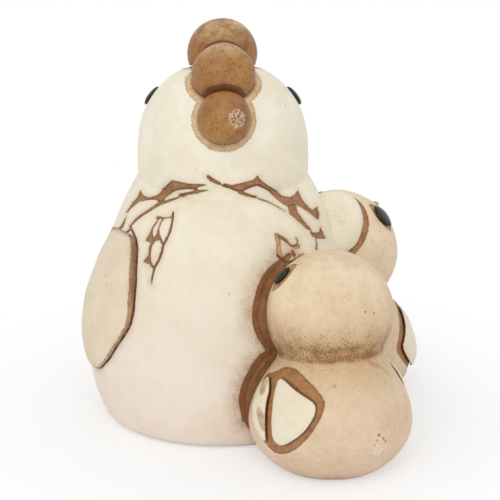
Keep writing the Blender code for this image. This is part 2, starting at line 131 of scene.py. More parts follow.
def hen_skin(chart, grow=0.0):
    """Places on the hen's skin, from a chart of turns (0 straight behind, + to her left) and heights."""
    turn = np.radians(chart[:, 0])
    height = chart[:, 1]
    half_width, half_depth, middle = hen_section(height, grow)
    radius = 1.0 / np.hypot(np.sin(turn) / half_width, np.cos(turn) / half_depth)
    x = radius * np.sin(turn)
    y = middle + radius * np.cos(turn)
    return np.stack((x, y + rump(x, y, height), height), axis=1)


def oval_depth(aside, along, half_width, half_length, over, off_top):
    """Depth inside a form of oval sections. Over the form it is the distance to its top, as a negative."""
    level = np.hypot(aside / np.maximum(half_width, 0.01), along / np.maximum(half_length, 0.01))
    return np.where(over > 0.0, -np.hypot(over, off_top), (1.0 - level) * np.minimum(half_width, half_length))


def hen_depth(points):
    """How deep points lie inside the hen, in millimetres. Outside it is negative."""
    x, y, z = points.T
    half_width, half_depth, middle = hen_section(z)
    over = z - HEAD_CENTRE_Z - HEAD_HALF_HEIGHT
    return oval_depth(x, y - rump(x, y, z) - middle, half_width, half_depth, over,
                      np.hypot(x, y - HEAD_CENTRE_Y))


def out_of_hen(points):
    """Points that lie inside the hen, brought straight out from her axis to just under her skin."""
    x, y, z = points.T
    half_width, half_depth, middle = hen_section(z)
    lift = rump(x, y, z)
    level = np.hypot(x / half_width, (y - lift - middle) / half_depth)
    aim = 1.0 - UNDER_SKIN / np.minimum(half_width, half_depth)
    stretch = np.where(level < aim, aim / np.maximum(level, 0.05), 1.0)
    moved = np.stack((x * stretch, middle + lift + (y - lift - middle) * stretch, z), axis=1)
    return np.where((hen_depth(points) > 0.0)[:, None], moved, points)


def turned(profile, steps):
    """A closed form turned round Z from a profile of (radius, height) that starts and ends on the axis."""
    form = bmesh.new()
    marks = [form.verts.new((radius, 0.0, height)) for radius, height in profile]
    lines = [form.edges.new(pair) for pair in zip(marks, marks[1:])]
    bmesh.ops.spin(form, geom=marks + lines, cent=(0.0, 0.0, 0.0), axis=(0.0, 0.0, 1.0), angle=2 * pi,
                   steps=steps, use_merge=True)
    bmesh.ops.remove_doubles(form, verts=form.verts, dist=0.0001)
    bmesh.ops.recalc_face_normals(form, faces=form.faces)
    return form


def mesh_of(form, name):
    mesh = bpy.data.meshes.new(name)
    form.to_mesh(mesh)
    form.free()
    return mesh


def places(mesh):
    found = np.empty(len(mesh.vertices) * 3)
    mesh.vertices.foreach_get("co", found)
    return found.reshape(-1, 3)


def put(mesh, points):
    mesh.vertices.foreach_set("co", points.ravel())
    mesh.update()


def outward(mesh):
    found = np.empty(len(mesh.vertices) * 3)
    mesh.vertex_normals.foreach_get("vector", found)
    return found.reshape(-1, 3)


def mark(mesh, **distances):
    """Keep distances in millimetres on a mesh, never under -FAR, for its material to paint by."""
    for name, values in distances.items():
        held = np.full(len(mesh.vertices), np.maximum(values, -FAR), dtype=np.float32)
        mesh.attributes.new(name, "FLOAT", "POINT").data.foreach_set("value", held)


def piece(name, mesh, material, slot, *nodes):
    """Put a finished mesh down in metres as a piece that stands for the given solids."""
    put(mesh, (places(mesh) + AXIS) * MM)
    mesh.shade_smooth()
    mesh.materials.append(material)
    made = bpy.data.objects.new(name, mesh)
    bpy.context.scene.collection.objects.link(made)
    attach(made, "root")
    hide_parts(*nodes)


def lumpy(mesh, points, *lumps, sinking=0.0):
    """Points sunk straight in by a sinking and by hand-smoothed lumps, each so wide and at most so deep."""
    for width, depth in lumps:
        x, y, z = (points * (2 * pi / width)).T
        waves = np.sin(x + 0.7 * z + 1.3) + np.sin(0.8 * y - 1.1 * z)
        waves += np.sin(0.9 * x + 1.2 * y + 0.4 * z + 2.1)
        sinking = sinking + depth * (0.5 + waves / 6.0)
    return points - outward(mesh) * sinking[:, None]


def step_up(value):
    """A smooth step from 0 to 1 as value goes from 0 to 1."""
    share = np.clip(value, 0.0, 1.0)
    return share * share * (3.0 - 2.0 * share)


def sunk(reach, depth, edge):
    """How deep a mark is pressed into the clay, where it slopes to its full depth over an edge."""
    return depth * step_up(reach / edge)


DRAWN_SPACING = 0.2
DRAWN_MM_PER_DEGREE = 0.62
REACH_BATCH = 4000


def drawn(marks, closed=False, straight=False):
    """Close points along a line through marks of (turn in degrees, height), with a half-width or without."""
    marks = np.array(marks, dtype=float)
    if closed:
        run = np.vstack((marks[-1:], marks, marks[:2]))
    else:
        run = np.vstack((2 * marks[:1] - marks[1:2], marks, 2 * marks[-1:] - marks[-2:-1]))
    stretches = []
    for before, start, end, after in zip(run, run[1:], run[2:], run[3:]):
        length = np.hypot((end[0] - start[0]) * DRAWN_MM_PER_DEGREE, end[1] - start[1])
        count = max(int(length / DRAWN_SPACING), 1)
        share = (np.arange(count) / count)[:, None]
        if straight:
            stretches.append(start + (end - start) * share)
        else:
            bend = before - 2.5 * start + 2 * end - after / 2
            twist = 1.5 * (start - end) + (after - before) / 2
            stretches.append(start + share / 2 * (end - before) + share ** 2 * bend + share ** 3 * twist)
    if not closed:
        stretches.append(marks[-1:])
    return np.vstack(stretches)


def brush_reach(points, line, half_widths):
    """How far inside a brushed line each point lies. Outside it is negative, and -FAR well away."""
    reach = np.full(len(points), -FAR)
    near = np.all((points > line.min(axis=0) - FAR) & (points < line.max(axis=0) + FAR), axis=1)
    for batch in np.array_split(np.flatnonzero(near), np.count_nonzero(near) // REACH_BATCH + 1):
        gaps = np.linalg.norm(points[batch, None] - line[None], axis=2)
        reach[batch] = np.maximum((half_widths - gaps).max(axis=1), -FAR)
    return reach


def within(chart, outline):
    """Whether points of a chart lie inside a closed outline drawn on it."""
    across, up = chart.T
    odd = np.zeros(len(chart), dtype=bool)
    for (start_x, start_z), (end_x, end_z) in zip(outline, np.roll(outline, -1, axis=0)):
        if start_z != end_z:
            crossing = (end_x - start_x) * (up - start_z) / (end_z - start_z) + start_x
            odd ^= ((start_z > up) != (end_z > up)) & (across < crossing)
    return odd


def patch_reach(points, chart, skin, marks, straight=False):
    """How far inside a closed outline each point lies. Outside it is negative."""
    outline = drawn(marks, closed=True, straight=straight)[:, :2]
    gap = -brush_reach(points, skin(outline), 0.0)
    return np.where(within(chart, outline), gap, -gap)


def widest(reaches):
    """The greatest of several reaches at each point."""
    return np.maximum.reduce(list(reaches))


def line_reach(points, skin, lines):
    """How far inside the nearest of several brushed lines each point lies."""
    return widest(brush_reach(points, skin(line), line[:, 2] + BRUSH_SPREAD) for line in map(drawn, lines))


def axes_round(direction):
    """Unit directions square to a direction: one level with the ground, and one as upright as it goes."""
    across = np.array([-direction[1], direction[0], 0.0]) / np.hypot(direction[0], direction[1])
    return across, np.cross(direction, across)


def almond(points, centre, direction, half_length, half_width):
    """How far inside an upright almond outline, drawn round a direction from a centre, each point lies."""
    across, upright = axes_round(direction)
    offset = points - centre
    radius = (half_length ** 2 + half_width ** 2) / (2 * half_width)
    side = np.abs(offset @ across) + radius - half_width
    reach = radius - np.hypot(side, offset @ upright)
    return np.where(offset @ direction > -half_length, np.maximum(reach, -FAR), -FAR)


def facing(azimuth, elevation=0.0):
    """Unit direction from an azimuth, counter-clockwise from +X, and an elevation."""
    lift = radians(elevation)
    return np.array([cos(lift) * cos(radians(azimuth)), cos(lift) * sin(radians(azimuth)), sin(lift)])


def head_place(azimuth, elevation, rise=0.0):
    """A place on the hen's head, or a rise over it. Past 90 degrees the elevation goes on over the crown."""
    half_height = HEAD_HALF_HEIGHT + rise
    height = half_height * sin(radians(elevation))
    reach = float(dome(np.array(height), half_height, half_height, HEN_FULLNESS))
    if cos(radians(elevation)) < 0.0:
        reach = -reach
    around = facing(azimuth)
    return np.array([around[0] * reach * (HEAD_HALF_WIDTH + rise),
                     HEAD_CENTRE_Y + around[1] * reach * (HEAD_HALF_DEPTH + rise), HEAD_CENTRE_Z + height])


# What presses into the hen is placed here: the comb's balls, her eyes and the chicks that lean on her.
COMB_AZIMUTH = 91.5
COMB_RISE = 2.0
COMB_BALLS = {"comb_front": (9.6, 98.5), "comb_middle": (8.7, 68.5), "comb_rear": (7.2, 38.0)}
comb_centres = {name: head_place(COMB_AZIMUTH, angle, COMB_RISE) for name, (_, angle) in COMB_BALLS.items()}
HALO_WIDTH = 2.0
GROOVE_FILM_WIDTH = FAR
HEN_EYE_AZIMUTHS = {"left": -15.0, "right": -165.0}
HEN_EYE_ELEVATION = 36.5
HEN_ALMOND = (5.1, 4.1)
UP = np.array([0.0, 0.0, 1.0])

CHICK_BODY_RADIUS = 22.0
CHICK_BODY_UPPER_HEIGHT = 25.5
CHICK_BODY_LOWER_HEIGHT = 15.8
CHICK_BODY_CENTRE_Z = 12.0
CHICK_SHOULDER_FULLNESS = 1.6
CHICK_HEAD_RADIUS = 17.0
CHICK_NECK_BLEND = 3.0
CHICKS = {
    "rear": {"base": np.array([-28.78, 42.02, 0.0]), "head_z": 39.96, "lean": 4.0, "lean_azimuth": -86.0,
             "facing": -57.0, "head_facing": -57.0, "beak_elevation": 40.0},
    "front": {"base": np.array([-31.72, -6.59, 0.0]), "head_z": 41.04, "lean": 1.0, "lean_azimuth": 270.0,
              "facing": 278.0, "head_facing": 230.0, "beak_elevation": 27.0},
}


def chick_head(chick):
    """The centre of a chick's head."""
    return chick["base"] + facing(chick["lean_azimuth"]) * chick["lean"] + UP * chick["head_z"]


def chick_section(chick, height, grow=0.0):
    """Half-width, half-length along the lean, and centre along the lean, of a chick's oval at a height."""
    fullness = np.where(height > CHICK_BODY_CENTRE_Z, CHICK_SHOULDER_FULLNESS, 2.0)
    body = (CHICK_BODY_RADIUS + grow) * dome(
        height - CHICK_BODY_CENTRE_Z, CHICK_BODY_UPPER_HEIGHT + grow, CHICK_BODY_LOWER_HEIGHT + grow,
        fullness)
    head = (CHICK_HEAD_RADIUS + grow) * dome(
        height - chick["head_z"], CHICK_HEAD_RADIUS + grow, CHICK_HEAD_RADIUS + grow)
    lean = np.where(head == 0.0, 0.0, chick["lean"])
    alone = (body == 0.0) | (head == 0.0)
    half_width, back, front = (
        np.where(alone, np.maximum(body, head) + shift, soft_max(body, head + shift, CHICK_NECK_BLEND))
        for shift in (0.0, -lean, lean))
    return half_width, (front + back) / 2, (front - back) / 2


def chick_axes(chick):
    """Unit directions along the lean of a chick's head and across it."""
    along = facing(chick["lean_azimuth"])
    return along, facing(chick["lean_azimuth"] + 90.0)


def chick_skin(chick, chart, grow=0.0):
    """Places on a chick's skin, from a chart of azimuths in degrees round its oval sections and heights."""
    along, across = chick_axes(chick)
    turn = np.radians(chart[:, 0] - chick["lean_azimuth"])
    half_width, half_length, middle = chick_section(chick, chart[:, 1], grow)
    forward = np.cos(turn)
    aside = np.sin(turn)
    radius = 1.0 / np.hypot(forward / np.maximum(half_length, 0.001), aside / np.maximum(half_width, 0.001))
    flat = np.outer(middle + radius * forward, along) + np.outer(radius * aside, across)
    return chick["base"] + flat + np.outer(chart[:, 1], UP)


def chick_depth(chick, points):
    """How deep points lie inside a chick's casting, in millimetres. Outside it is negative."""
    forward, aside = ((points - chick["base"]) @ axis for axis in chick_axes(chick))
    half_width, half_length, middle = chick_section(chick, points[:, 2])
    over = points[:, 2] - chick["head_z"] - CHICK_HEAD_RADIUS
    return oval_depth(aside, forward - middle, half_width, half_length, over,
                      np.hypot(forward - chick["lean"], aside))


def rounded_top(centre_z, half_height, first, last, count):
    """Heights down over a rounded top, from one angle off its pole to just before another."""
    return [centre_z + half_height * cos(angle) for angle in np.linspace(first, last, count + 1)[:-1]]


def heights_down(high, runs):
    """Heights from high downwards, evenly spaced within runs of (lowest height, number of rings)."""
    heights = []
    for low, count in runs:
        heights += [high + (low - high) * ring / count for ring in range(count)]
        high = low
    return heights


def rough_casting(name, crown, heights, foot_rings, steps):
    """A casting before it has its shape: a drum of radius 1 with rings at the given heights, and its foot."""
    profile = crown + [(1.0, height) for height in heights]
    profile += [(radius / foot_rings[0], 0.0) for radius in foot_rings]
    return mesh_of(turned(profile, steps), name)


def cast(rough, on_skin, axis, azimuths, foot_radius, vent_radius, vent_edge, vent_shift=0.0):
    """A casting's points on its skin, and over its foot from the oval outline in to the round vent hole."""
    share = np.hypot(rough[:, 0], rough[:, 1])
    on_foot = rough[:, 2] < 0.001
    roundness = np.where(on_foot, 1.0 - share, 0.0)[:, None]
    around = np.radians(azimuths)
    circle = np.stack((np.cos(around), np.sin(around), np.zeros(len(rough))), axis=1)
    round_foot = circle * (share * foot_radius)[:, None] + vent_shift
    oval = (on_skin - axis) * share[:, None]
    points = axis + oval * (1.0 - roundness) + round_foot * roundness
    points[:, 2] += on_foot * sunk(vent_radius - share * foot_radius, VENT_DEPTH, vent_edge)
    return points


hen_top = HEAD_CENTRE_Z + HEAD_HALF_HEIGHT
crown_low = HEAD_CENTRE_Z + HEAD_HALF_HEIGHT * cos(CROWN_ANGLES[1])
heights = rounded_top(HEAD_CENTRE_Z, HEAD_HALF_HEIGHT, *CROWN_ANGLES, CROWN_RINGS)
heights += heights_down(crown_low, HEN_RING_RUNS)
heights += [FOOT_FILLET * (1.0 - sin(pi / 2 * ring / FILLET_RINGS)) for ring in range(FILLET_RINGS)]
hen_crown = [(0.0, hen_top), (CROWN_RING_SHARE, hen_top)]
hen_mesh = rough_casting("hen_casting", hen_crown, heights, HEN_FOOT_RINGS, HEN_STEPS)
rough = places(hen_mesh)
around = np.arctan2(rough[:, 0], rough[:, 1])
hen_chart = np.stack((np.degrees(around - BACK_CROWDING * np.sin(around)), rough[:, 2]), axis=1)
half_width, half_depth, middle = hen_section(hen_chart[:, 1])
hen_axis = np.stack((np.zeros(len(rough)), middle, hen_chart[:, 1]), axis=1)
under = np.maximum(FOOT_FILLET - rough[:, 2], 0.0)
tuck = FOOT_FILLET - np.sqrt(np.maximum(FOOT_FILLET ** 2 - under ** 2, 0.0))
tucked = hen_axis + (hen_skin(hen_chart) - hen_axis) * (1.0 - tuck / half_width)[:, None]
points = cast(rough, tucked, hen_axis, 90.0 - hen_chart[:, 0], HEN_FOOT_RINGS[0], HEN_VENT_RADIUS,
              HEN_VENT_EDGE)
put(hen_mesh, points)

# Marks are (turn, height) round an outline, or (turn, height, half-width) along a line, as they are scored
# and brushed on the hen's back.
LEFT_BAND = [(73.1, 58.8), (71.0, 61.1), (67.5, 63.1), (68.1, 64.4), (61.3, 63.9), (54.9, 64.1), (49.1, 65.0),
             (45.3, 66.0), (40.4, 67.8), (35.9, 69.6), (31.1, 69.7), (24.4, 69.6), (17.3, 69.7), (10.5, 70.0),
             (16.5, 69.0), (17.6, 68.3), (20.0, 68.5), (25.8, 68.2), (32.9, 67.2), (38.4, 65.8), (41.1, 64.8),
             (44.2, 64.5), (49.7, 64.3), (56.0, 63.6), (62.6, 62.6), (67.9, 60.7), (72.2, 58.6)]
LEFT_LOWER_LINE = [(62.7, 56.6, 0.34), (58.9, 58.6, 0.34), (54.3, 60.4, 0.36), (49.6, 61.9, 0.4),
                   (45.1, 63.3, 0.42), (40.3, 64.3, 0.42), (34.2, 65.3, 0.36), (28.2, 66.2, 0.3),
                   (21.4, 67.2, 0.27), (15.2, 68.0, 0.2), (9.8, 68.4, 0.05)]
LEFT_LINKS = [[(44.2, 64.5, 0.5), (40.3, 64.3, 0.5)], [(18.5, 68.6, 0.45), (17.0, 67.8, 0.45)],
              [(69.0, 53.3, 0.1), (63.8, 55.0, 0.3), (61.0, 56.3, 0.45)]]
LEFT_SHOULDER = [(75.9, 53.7), (70.5, 58.0), (69.5, 55.5)]
LEFT_STALK = [(31.2, 62.8, 0.15), (30.7, 61.6, 0.2), (30.7, 59.3, 0.25), (32.1, 56.9, 0.25),
              (33.6, 55.2, 0.25), (33.9, 53.6, 0.3), (35.0, 51.6, 0.25), (36.7, 49.6, 0.25),
              (37.2, 47.7, 0.2), (37.2, 45.8, 0.08)]
LEFT_LEAVES = [
    [(40.0, 61.1, 0.2), (41.2, 59.9, 0.15), (43.0, 58.3, 0.2), (42.8, 57.2, 0.25), (41.3, 56.2, 0.2),
     (40.2, 55.6, 0.3)],
    [(36.8, 60.9, 0.1), (38.2, 59.9, 0.1), (38.6, 58.5, 0.15), (37.8, 57.4, 0.2), (35.9, 56.4, 0.2),
     (33.7, 55.4, 0.2)],
    [(40.2, 55.6, 0.3), (41.6, 54.3, 0.35), (41.3, 52.6, 0.3), (40.5, 51.1, 0.3), (38.8, 50.1, 0.25),
     (36.7, 49.6, 0.2)],
    [(41.4, 60.9, 0.35), (39.3, 61.1, 0.2), (37.0, 61.1, 0.12), (34.9, 61.4, 0.1), (32.9, 61.6, 0.12),
     (31.7, 61.9, 0.15)]]
LEFT_BLOTS = [[(38.6, 58.8), (40.6, 55.6), (36.4, 56.3)],
              [(45.9, 55.2), (43.2, 58.0), (42.0, 56.4), (41.2, 55.2)],
              [(44.3, 50.5), (42.0, 52.0), (40.2, 50.9), (40.8, 50.2)]]
WING_EDGE_LINE = [(59.7, 56.2, 0.2), (55.2, 55.1, 0.22), (51.9, 53.6, 0.22), (50.1, 51.9, 0.22),
                  (48.3, 48.5, 0.22), (46.4, 44.8, 0.22), (45.0, 40.6, 0.22), (44.6, 37.4, 0.22),
                  (45.3, 34.0, 0.22), (48.2, 30.7, 0.22), (52.6, 26.9, 0.22), (57.2, 22.9, 0.22),
                  (62.0, 19.8, 0.22), (67.4, 17.3, 0.22), (74.7, 16.6, 0.2)]
RIGHT_START = [(9.3, 72.1, 0.35), (6.6, 71.3, 0.4), (1.4, 70.3, 0.25)]
RIGHT_BAND = [(-1.9, 70.3), (-6.4, 69.8), (-11.7, 70.1), (-17.1, 70.4), (-21.3, 70.7), (-24.2, 71.7),
              (-26.3, 70.4), (-31.6, 68.6), (-38.3, 66.6), (-43.1, 65.4), (-48.6, 64.7), (-54.0, 64.7),
              (-60.3, 65.2), (-60.0, 63.7), (-62.0, 61.9), (-65.8, 60.0), (-70.4, 59.9), (-74.0, 59.8),
              (-72.1, 58.7), (-67.7, 57.7), (-61.7, 60.0), (-56.8, 61.7), (-51.7, 63.0), (-43.8, 63.4),
              (-40.7, 64.2), (-37.2, 65.4), (-33.2, 67.0), (-28.5, 68.3), (-24.1, 69.2), (-18.4, 68.9),
              (-13.6, 68.3), (-9.6, 68.4), (-5.1, 69.2), (0.1, 69.9)]
RIGHT_FILL = [(-44.9, 63.5), (-49.3, 63.4), (-51.8, 62.5), (-51.0, 61.7), (-51.8, 60.6), (-53.6, 59.1),
              (-56.2, 57.4), (-57.8, 56.2), (-53.1, 57.2), (-49.7, 58.9), (-46.2, 60.4), (-43.7, 61.5),
              (-44.4, 62.5)]
RIGHT_LINES = [[(-11.6, 68.0, 0.4), (-18.3, 66.7, 0.25), (-28.9, 65.2, 0.2)],
               [(-28.9, 65.2, 0.1), (-35.3, 63.8, 0.08), (-40.9, 62.3, 0.08)],
               [(-59.5, 54.3, 0.2), (-58.9, 53.0, 0.2), (-57.2, 51.8, 0.2)]]
RIGHT_SHOULDER = [(-67.6, 55.7), (-69.9, 52.6), (-61.1, 53.9), (-56.3, 55.0), (-55.8, 56.2), (-60.4, 55.1),
                  (-64.8, 54.8)]
RIGHT_SPRIG = [[(-34.2, 57.2, 0.35), (-36.2, 56.6, 0.4), (-38.4, 55.8, 0.35)],
               [(-39.0, 55.4, 0.2), (-39.9, 54.7, 0.2), (-41.4, 54.4, 0.15), (-43.9, 54.4, 0.15),
                (-45.0, 55.1, 0.2), (-44.4, 55.9, 0.15)],
               [(-40.1, 53.2, 0.3), (-40.9, 52.2, 0.4)],
               [(-30.6, 53.1, 0.2), (-32.7, 52.2, 0.5), (-35.5, 51.3, 0.6)]]
RIGHT_SPRIG_TAN = [(-31.4, 58.2), (-30.9, 55.6), (-30.4, 53.0), (-34.0, 52.2), (-33.7, 54.8), (-34.8, 57.4)]
RIGHT_SPRIG_SPOT = [(-41.2, 54.4), (-41.6, 53.6), (-45.4, 53.4), (-45.6, 54.3)]
CHICK_GROOVE = [(-37.8, 52.5, 0.6), (-24.7, 48.9, 1.2), (-18.6, 43.2, 1.3), (-16.9, 38.1, 1.3),
                (-18.4, 34.1, 1.2), (-22.7, 29.1, 1.2), (-18.0, 27.2, 1.3), (-12.5, 21.8, 1.3),
                (-9.9, 16.1, 1.2), (-11.1, 9.9, 0.8)]
NECK_LOBE_EDGE = [(9.9, 69.9), (-8.4, 68.3), (-28.0, 65.0), (-40.6, 61.9), (-50.7, 58.2), (-58.1, 52.1)]
BACK_VALLEY = [(-14.0, 63.8), (-16.5, 63.0), (-23.3, 60.7), (-33.6, 57.5), (-38.0, 55.5)]
CHICK_CONTACT = 1.2
PAINTED_DEPTH = 0.3
HALO_EDGE = 0.8
EYE_EDGE = 0.6
VALLEY_DEPTH = 0.4
VALLEY_HALF_WIDTH = 3.0
LOBE_RISE = 0.3
LOBE_HALF_WIDTH = 2.6
HEN_LUMPS = [(23.0, 0.22), (9.0, 0.07)]


def narrowed(marks, half_width):
    """The same drawn line at another half-width."""
    return [(turn, height, half_width) for turn, height, *rest in marks]


DARK_LINES = [narrowed(LEFT_BAND[15:], 0.1), narrowed(RIGHT_BAND[18:], 0.12), narrowed(WING_EDGE_LINE, 0.16),
              narrowed(LEFT_STALK, 0.1), narrowed(RIGHT_SPRIG[3], 0.3)]
hen_lines = [LEFT_LOWER_LINE, LEFT_STALK, RIGHT_START, CHICK_GROOVE, WING_EDGE_LINE, *LEFT_LINKS,
             *LEFT_LEAVES, *RIGHT_LINES, *RIGHT_SPRIG]
hen_bands = [LEFT_BAND, LEFT_SHOULDER, RIGHT_BAND, RIGHT_FILL, RIGHT_SHOULDER, *LEFT_BLOTS]
wash = widest([line_reach(points, hen_skin, hen_lines),
               *(BRUSH_SPREAD + patch_reach(points, hen_chart, hen_skin, outline, straight=True)
                 for outline in hen_bands),
               *(CHICK_CONTACT + chick_depth(chick, points) for chick in CHICKS.values())])
tanned = widest(patch_reach(points, hen_chart, hen_skin, outline)
                for outline in (RIGHT_SPRIG_TAN, RIGHT_SPRIG_SPOT))
crease = line_reach(points, hen_skin, DARK_LINES)
halo = widest(HALO_WIDTH + radius - np.linalg.norm(points - comb_centres[name], axis=1)
              for name, (radius, _) in COMB_BALLS.items())
# A brown film with fine dots fades out across her skin from the groove beside the rear chick, darkest on the
# groove.
groove_line = drawn(CHICK_GROOVE)
groove_film = brush_reach(points, hen_skin(groove_line), groove_line[:, 2])
eyes = widest(almond(points, head_place(azimuth, HEN_EYE_ELEVATION), facing(azimuth, HEN_EYE_ELEVATION),
                     *HEN_ALMOND)
              for azimuth in HEN_EYE_AZIMUTHS.values())
valley = brush_reach(points, hen_skin(drawn(BACK_VALLEY)), VALLEY_HALF_WIDTH)
lobe = brush_reach(points, hen_skin(drawn(NECK_LOBE_EDGE)), LOBE_HALF_WIDTH)
sinking = sunk(np.maximum(wash, tanned) + GROOVE_MARGIN, GROOVE_DEPTH, GROOVE_EDGE)
sinking += sunk(halo, PAINTED_DEPTH, HALO_EDGE) + sunk(eyes, PAINTED_DEPTH, EYE_EDGE)
sinking += sunk(valley, VALLEY_DEPTH, VALLEY_HALF_WIDTH) - sunk(lobe, LOBE_RISE, LOBE_HALF_WIDTH)
put(hen_mesh, lumpy(hen_mesh, points, *HEN_LUMPS, sinking=sinking))
mark(hen_mesh, wash_mm=wash, crease_mm=crease, halo_mm=halo, eye_mm=eyes, dust_mm=groove_film, tan_mm=tanned)


def tint(red, green, blue):
    """A colour as it shows, from 0 to 255 a channel, in linear light."""
    shares = (level / 255 for level in (red, green, blue))
    return tuple(s / 12.92 if s <= 0.04045 else ((s + 0.055) / 1.055) ** 2.4 for s in shares) + (1.0,)


def add(tree, kind, inputs=None, **settings):
    """Add a shader node. Each of its inputs is a value, a node's output, or a function that makes one."""
    made = tree.nodes.new(kind)
    for name, value in settings.items():
        setattr(made, name, value)
    for key, value in (inputs or {}).items():
        filling = value(tree) if callable(value) else value
        if isinstance(filling, bpy.types.NodeSocket):
            tree.links.new(filling, made.inputs[key])
        else:
            made.inputs[key].default_value = filling
    return made


def calc(tree, operation, first, second=0.0, third=0.0):
    return add(tree, "ShaderNodeMath", {0: first, 1: second, 2: third}, operation=operation).outputs[0]


def product(tree, first, *others):
    """Several values multiplied together."""
    for other in others:
        first = calc(tree, "MULTIPLY", first, other)
    return first


def ramped(tree, value, low, high, low_result=0.0, high_result=1.0):
    """A smooth step from one result to the other as a value goes from low to high."""
    made = add(tree, "ShaderNodeMapRange", {0: value, 1: low, 2: high, 3: low_result, 4: high_result},
               interpolation_type="SMOOTHSTEP")
    return made.outputs[0]


def mixed(tree, share, first, second):
    return add(tree, "ShaderNodeMix", {0: share, 6: first, 7: second}, data_type="RGBA").outputs[2]


def noise(tree, coordinates, scale, detail=2.0, roughness=0.5):
    """Noise about one half, from a scale in waves to the metre."""
    made = add(tree, "ShaderNodeTexNoise",
               {"Vector": coordinates, "Scale": scale, "Detail": detail, "Roughness": roughness})
    return made.outputs["Fac"]


def group(name, inputs, outputs):
    """An empty shader node group with named sockets, and its ends."""
    tree = bpy.data.node_groups.new(name, "ShaderNodeTree")
    for label, value in inputs.items():
        kind = "NodeSocketColor" if isinstance(value, tuple) else "NodeSocketFloat"
        tree.interface.new_socket(label, in_out="INPUT", socket_type=kind).default_value = value
    for label, kind in outputs.items():
        tree.interface.new_socket(label, in_out="OUTPUT", socket_type=kind)
    return tree, tree.nodes.new("NodeGroupInput").outputs, tree.nodes.new("NodeGroupOutput").inputs


grain, given, result = group(
    "fired grain",
    {"Ground": (0.8, 0.8, 0.8, 1.0), "Deep": (0.6, 0.5, 0.4, 1.0), "Mottle": 0.4, "Specks": 0.5,
     "Pepper": 0.0},
    {"Color": "NodeSocketColor", "Height": "NodeSocketFloat"})
where = add(grain, "ShaderNodeTexCoord").outputs["Object"]
cloud = ramped(grain, noise(grain, where, 75.0, 4.0, 0.55), 0.36, 0.68)
sponge = ramped(grain, noise(grain, where, 420.0, 3.0, 0.6), 0.35, 0.7)
fine = noise(grain, where, 1700.0, 2.0, 0.6)
share = product(grain, calc(grain, "MULTIPLY_ADD", cloud, 0.7, product(grain, sponge, 0.3)), given["Mottle"])
clouded = mixed(grain, share, given["Ground"], given["Deep"])
cells = add(grain, "ShaderNodeTexVoronoi", {"Vector": where, "Scale": 330.0}, feature="F1")
lot = add(grain, "ShaderNodeSeparateColor", {0: cells.outputs["Color"]}).outputs[0]
speck_size = ramped(grain, lot, 0.86, 1.0, 0.0, 0.2)
spot = ramped(grain, calc(grain, "SUBTRACT", speck_size, cells.outputs["Distance"]), 0.0, 0.05)
speck = product(grain, spot, given["Specks"])
specked = mixed(grain, speck, clouded, tint(150, 105, 66))
stipple = ramped(grain, noise(grain, where, 1600.0, 4.0, 0.8), 0.45, 0.6)
peppered = product(grain, stipple, ramped(grain, sponge, 0.0, 1.0, 0.45, 1.0), given["Pepper"])
grain.links.new(mixed(grain, peppered, specked, tint(104, 60, 24)), result["Color"])
bumps = calc(grain, "MULTIPLY_ADD", fine, 0.5, product(grain, sponge, 0.35))
grain.links.new(calc(grain, "MULTIPLY_ADD", speck, -0.8, bumps), result["Height"])

brushed, given, result = group(
    "brushed wash",
    {"Ground": (0.8, 0.8, 0.8, 1.0), "Wash": (0.4, 0.25, 0.12, 1.0), "Core": (0.15, 0.07, 0.03, 1.0),
     "Reach": 0.0, "Crease": -4.0, "Ragged": 0.35, "Rim": 0.4},
    {"Color": "NodeSocketColor", "Mask": "NodeSocketFloat"})
where = add(brushed, "ShaderNodeTexCoord").outputs["Object"]
edge = calc(brushed, "SUBTRACT", noise(brushed, where, 1300.0, 3.0, 0.65), 0.5)
dust = calc(brushed, "SUBTRACT", noise(brushed, where, 3000.0, 2.0, 0.6), 0.5)
drift = calc(brushed, "SUBTRACT", noise(brushed, where, 330.0, 2.0), 0.5)
wander = calc(brushed, "ADD", calc(brushed, "ADD", edge, dust), product(brushed, drift, 0.5))
reach = calc(brushed, "MULTIPLY_ADD", wander, given["Ragged"], given["Reach"])
mask = ramped(brushed, reach, -0.12, 0.22)
streaks = ramped(brushed, noise(brushed, where, 800.0, 3.0, 0.7), 0.3, 0.7, 0.84, 1.0)
laid = product(brushed, mask, streaks)
rim = product(brushed, mask, ramped(brushed, reach, 0.1, 0.6, 1.0, 0.0), given["Rim"])
uneven = ramped(brushed, noise(brushed, where, 420.0, 3.0, 0.65), 0.42, 0.72, 0.0, 0.45)
brown = mixed(brushed, uneven, given["Wash"], given["Core"])
washed = mixed(brushed, laid, given["Ground"], brown)
rimmed = mixed(brushed, rim, washed, given["Core"])
dark = ramped(brushed, calc(brushed, "MULTIPLY_ADD", dust, 0.35, given["Crease"]), -0.15, 0.2)
brushed.links.new(mixed(brushed, product(brushed, dark, 0.7), rimmed, given["Core"]), result["Color"])
brushed.links.new(mask, result["Mask"])

sponged, given, result = group(
    "sponged wash", {"Ground": (0.8, 0.8, 0.8, 1.0), "Wash": (0.4, 0.25, 0.12, 1.0), "Dot": tint(122, 78, 38),
                     "Reach": 0.0, "Fade": 4.0, "Film": 0.4, "Dots": 0.6},
    {"Color": "NodeSocketColor"})
where = add(sponged, "ShaderNodeTexCoord").outputs["Object"]
fading = ramped(sponged, calc(sponged, "DIVIDE", given["Reach"], given["Fade"]), 0.0, 1.0)
patchy = ramped(sponged, noise(sponged, where, 260.0, 3.0, 0.6), 0.3, 0.7, 0.55, 1.0)
thickness = product(sponged, fading, patchy)
filmed = mixed(sponged, product(sponged, thickness, given["Film"]), given["Ground"], given["Wash"])
needed = calc(sponged, "MULTIPLY_ADD", thickness, -0.2, 0.66)
over = calc(sponged, "SUBTRACT", noise(sponged, where, 2600.0, 2.0, 0.6), needed)
dotted = product(sponged, ramped(sponged, over, -0.02, 0.05), given["Dots"],
                 ramped(sponged, thickness, 0.0, 0.12))
